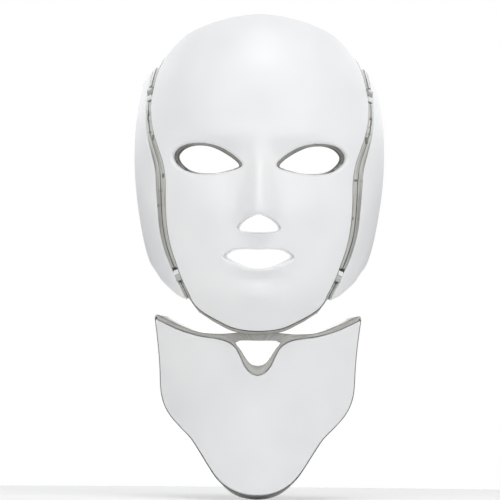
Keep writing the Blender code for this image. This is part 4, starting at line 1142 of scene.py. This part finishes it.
for side, word in ((1, "left"), (-1, "right")):
    for z, where, way in ((HINGE_Z[0], "upper", 1), (HINGE_Z[1], "lower", -1)):
        gap = 0.5 * float(STRIP_WING(z) - STRIP_FACE(z))
        point, up, rear, out = hinge_frame(side, z)
        place = lambda u, v, w: point + rear * u + out * v + up * w
        lug = Body().add(*bored(place, link_form(gap, way), PIN + 0.25, -2.0, 2.0, 0.5)).make(word + "_" + where + "_lug_form", [WHITE_LUG], 40)
        tidy(lug)
        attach(lug, word + "_wing")
        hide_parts(word + "_" + where + "_hinge_lug")
        p2, up2, rear2, out2 = hinge_frame(side, z + way * EAR_AWAY)
        place2 = lambda u, v, w: p2 + rear2 * u + out2 * v + up2 * w
        wide = [(-(gap - 0.6), -1.6), (gap - 2.0, -1.6), (gap - 1.5, -1.0), (gap - 1.7, 4.0), (-(gap - 0.6), 4.0)]
        pts, fcs = bored(place2, wide, PIN + 0.2, -2.45, 2.6 if way > 0 else 2.45, 0.5)
        # The ears take the strip's painted shading: the lower ear is painted darker, as the strip is darker low down.
        ear = Body().add(pts, fcs, run=np.array(pts)[:, 2], across=np.arange(len(pts)) * 0.0 + 1.0, tone=0.6 if way > 0 else 0.42).make(
            word + "_" + where + "_ear_form", [RIM_LOOK], 40
        )
        tidy(ear)
        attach(ear, "face")
        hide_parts(word + "_" + where + "_hinge_ear")
        profile = [(0.35, -8.2), (0.58, -8.1), (PIN, -7.9), (PIN, 2.2), (1.2, 2.2), (1.36, 2.35), (1.36, 2.7), (1.1, 2.95), (0.4, 3.0)]
        pin = Body().add(*turned(point, up * -way, profile, 28)).make(word + "_" + where + "_pin_form", [STEEL], 30)
        tidy(pin)
        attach(pin, "face")
        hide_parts(word + "_" + where + "_hinge_pin")


# ---------------------------------------------------------------- leads
def lead(side, word):
    """The white ribbon that takes power over the split to the wing's board. It shows in the windows of the strip."""
    top, low = WINDOWS[side][0][0] - 0.5, WINDOWS[side][-1][1] + 0.5
    zs = np.arange(low, top + 0.01, (top - low) / 14)
    first, last = strip_mid(zs) - 1.35, strip_mid(zs) + 1.35
    outline = np.concatenate([np.stack([first, zs], 1), np.stack([last, zs], 1)[::-1]])
    outline = sided(side, outline)
    dense = smooth_loop([tuple(q) for q in outline], 0.8, sharp=range(len(outline)))
    at, tri = mesh_plate(dense, [], [offset(dense, -0.3)], 1.0)
    edge, _ = nearest(at, dense)
    level = -1.15 + 0.1 * np.cos(2 * math.pi * at[:, 1] / 1.2)
    obj = tidy(Body().add(*skin_of(head, at, tri, level + round_off(edge, 0.25), np.full(len(at), -1.9))).make(word + "_wing_lead_form", [RIBBON], 40))
    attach(obj, word + "_wing")
    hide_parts(word + "_wing_lead")


for side, word in ((1, "left"), (-1, "right")):
    lead(side, word)


# ---------------------------------------------------------------- small dark grey blocks let into the strips, where the strips show dark patches
def dark_block(name, side, x, z, half_wide, half_tall, rides, level=0.25):
    s = along(x, z)
    p, right, up, out = frame_at(head, side * s, z, -level)
    stretch = 1.0 / max(0.35, math.cos(s / float(HALF_WIDTH(z))))
    place = lambda u, v, w: p + right * u * stretch + up * v + out * w
    loop = round_box(half_wide, half_tall, min(half_wide, half_tall) * 0.45)
    pts, fcs = prism(place, loop, [(-1.1, 0), (-0.12, 0), (0.0, -0.12)])
    obj = tidy(Body().add(pts, fcs).make(name, [GREY_TAB], 40))
    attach(obj, rides)
    return obj


dark_block("left_upper_dark_block", 1, 86.2, 16.6, 1.1, 2.7, "face")
dark_block("left_cheek_dark_block", 1, 78.0, -15.6, 1.5, 0.8, "face")
dark_block("right_upper_dark_block", -1, 85.9, 17.6, 0.7, 2.2, "face")
dark_block("right_cheek_dark_block", -1, 77.4, -13.0, 0.8, 1.7, "face")

# ---------------------------------------------------------------- inlets
for node in ("power_jack", "neck_jack"):
    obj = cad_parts[node]
    obj.data.materials.clear()
    obj.data.materials.append(DARK)


# ---------------------------------------------------------------- floor, light and camera
def floor():
    """A plain pale floor: a wide disc, flush with the tip of the neck shield."""
    low = CAD_BOX[0].z / MM
    rings, n = [0.0, 60.0, 150.0, 300.0, 450.0, 600.0], 96
    points = [(0.0, 60.0, low - 0.3)]
    faces = []
    for r in rings[1:]:
        for k in range(n):
            t = 2 * math.pi * k / n
            points.append((r * math.cos(t), 60 + r * math.sin(t), low - 0.3))
    for k in range(n):
        faces.append([0, 1 + k, 1 + (k + 1) % n])
    for i in range(len(rings) - 2):
        for k in range(n):
            m = (k + 1) % n
            faces.append([1 + i * n + k, 1 + (i + 1) * n + k, 1 + (i + 1) * n + m, 1 + i * n + m])
    obj = mesh_object("floor", points, faces)
    n = Nodes("floor")
    tone = n.ramp(n.noise(3.0, 3.0), (0.3, lin("ebebeb")), (0.7, lin("f0f0f0")))
    obj.data.materials.append(n.set(Base_Color=tone, Roughness=0.75, Normal=n.bump(n.noise(700.0), 0.03, 0.0002)))
    return obj


floor()


def area_light(name, place, aim, width, height, power):
    data = bpy.data.lights.new(name, "AREA")
    data.shape = "RECTANGLE"
    data.size, data.size_y = width, height
    data.energy = power
    obj = bpy.data.objects.new(name, data)
    obj.location = place
    obj.rotation_mode = "QUATERNION"
    obj.rotation_quaternion = (Vector(aim) - Vector(place)).to_track_quat("-Z", "Y")
    obj.visible_camera = False
    bpy.context.scene.collection.objects.link(obj)
    return obj


area_light("key", (0.1, -1.3, 2.3), (0, 0, -0.08), 1.4, 1.4, 36.5)
area_light("top", (0.0, 0.1, 2.4), (0, 0.1, 0), 2.4, 2.4, 13.0)
area_light("right", (2.4, -0.8, 0.4), (0, 0, -0.08), 1.4, 1.4, 3.0)
area_light("behind", (0.0, 1.9, 1.6), (0, 0, -0.08), 1.6, 1.6, 7.0)

world = bpy.data.worlds.new("studio")
bpy.context.scene.world = world
world.use_nodes = True
nodes, links = world.node_tree.nodes, world.node_tree.links
nodes.clear()
out = nodes.new("ShaderNodeOutputWorld")
seen, fill = nodes.new("ShaderNodeBackground"), nodes.new("ShaderNodeBackground")
seen.inputs["Color"].default_value = (1, 1, 1, 1)
seen.inputs["Strength"].default_value = 1.0
fill.inputs["Color"].default_value = (0.985, 0.99, 1.0, 1)


def blend_of(socket, lo, hi, to_lo, to_hi):
    n = nodes.new("ShaderNodeMapRange")
    n.interpolation_type = "SMOOTHSTEP"
    links.new(socket, n.inputs["Value"])
    for key, value in (("From Min", lo), ("From Max", hi), ("To Min", to_lo), ("To Max", to_hi)):
        n.inputs[key].default_value = value
    return n.outputs[0]


def sum_of(op, a, b):
    n = nodes.new("ShaderNodeMath")
    n.operation = op
    for socket, value in zip(n.inputs, (a, b)):
        if isinstance(value, float):
            socket.default_value = value
        else:
            links.new(value, socket)
    return n.outputs[0]


# the room: a bright wall behind, a softer one in front, and light from low down at the sides
way = nodes.new("ShaderNodeSeparateXYZ")
links.new(nodes.new("ShaderNodeTexCoord").outputs["Generated"], way.inputs[0])
front = blend_of(way.outputs[1], -0.42, -0.18, 1.0, 0.0)
back = blend_of(way.outputs[1], 0.18, 0.42, 0.0, 1.0)
sides = sum_of("SUBTRACT", 1.0, sum_of("ADD", front, back))
above, high = blend_of(way.outputs[2], -0.06, 0.06, 0.0, 1.0), blend_of(way.outputs[2], 0.4, 0.6, 0.0, 1.0)
front = sum_of("MULTIPLY", front, sum_of("SUBTRACT", 1.0, high))
sides = sum_of("MULTIPLY", sides, sum_of("MULTIPLY", sum_of("SUBTRACT", 1.0, above), 1.75))
back = sum_of("MULTIPLY", back, sum_of("SUBTRACT", sum_of("MULTIPLY", above, 2.05), sum_of("MULTIPLY", high, 1.65)))
walls = sum_of("ADD", front, sum_of("ADD", sides, back))
links.new(sum_of("ADD", walls, 0.02), fill.inputs["Strength"])
path, both = nodes.new("ShaderNodeLightPath"), nodes.new("ShaderNodeMixShader")
links.new(path.outputs["Is Camera Ray"], both.inputs[0])
links.new(fill.outputs[0], both.inputs[1])
links.new(seen.outputs[0], both.inputs[2])
links.new(both.outputs[0], out.inputs["Surface"])

scene = bpy.context.scene
scene.view_settings.view_transform = "Standard"
scene.view_settings.look = "None"

# a long lens, level, and turned a hair: the mask hangs about half a degree off the upright
camera = bpy.data.cameras.new("camera")
camera.sensor_width = 36.0
camera.lens = 1080.0
camera.clip_start, camera.clip_end = 0.5, 60.0
view = bpy.data.objects.new("camera", camera)
FAR, FRAME_WIDTH = 12.0, 0.4
view.location = (-0.0069, -FAR, -0.072)
view.rotation_mode = "QUATERNION"
view.rotation_quaternion = Vector((0, 1, 0)).to_track_quat("-Z", "Y") @ Matrix.Rotation(math.radians(0.49), 3, "Z").to_quaternion()
scene.collection.objects.link(view)
scene.camera = view
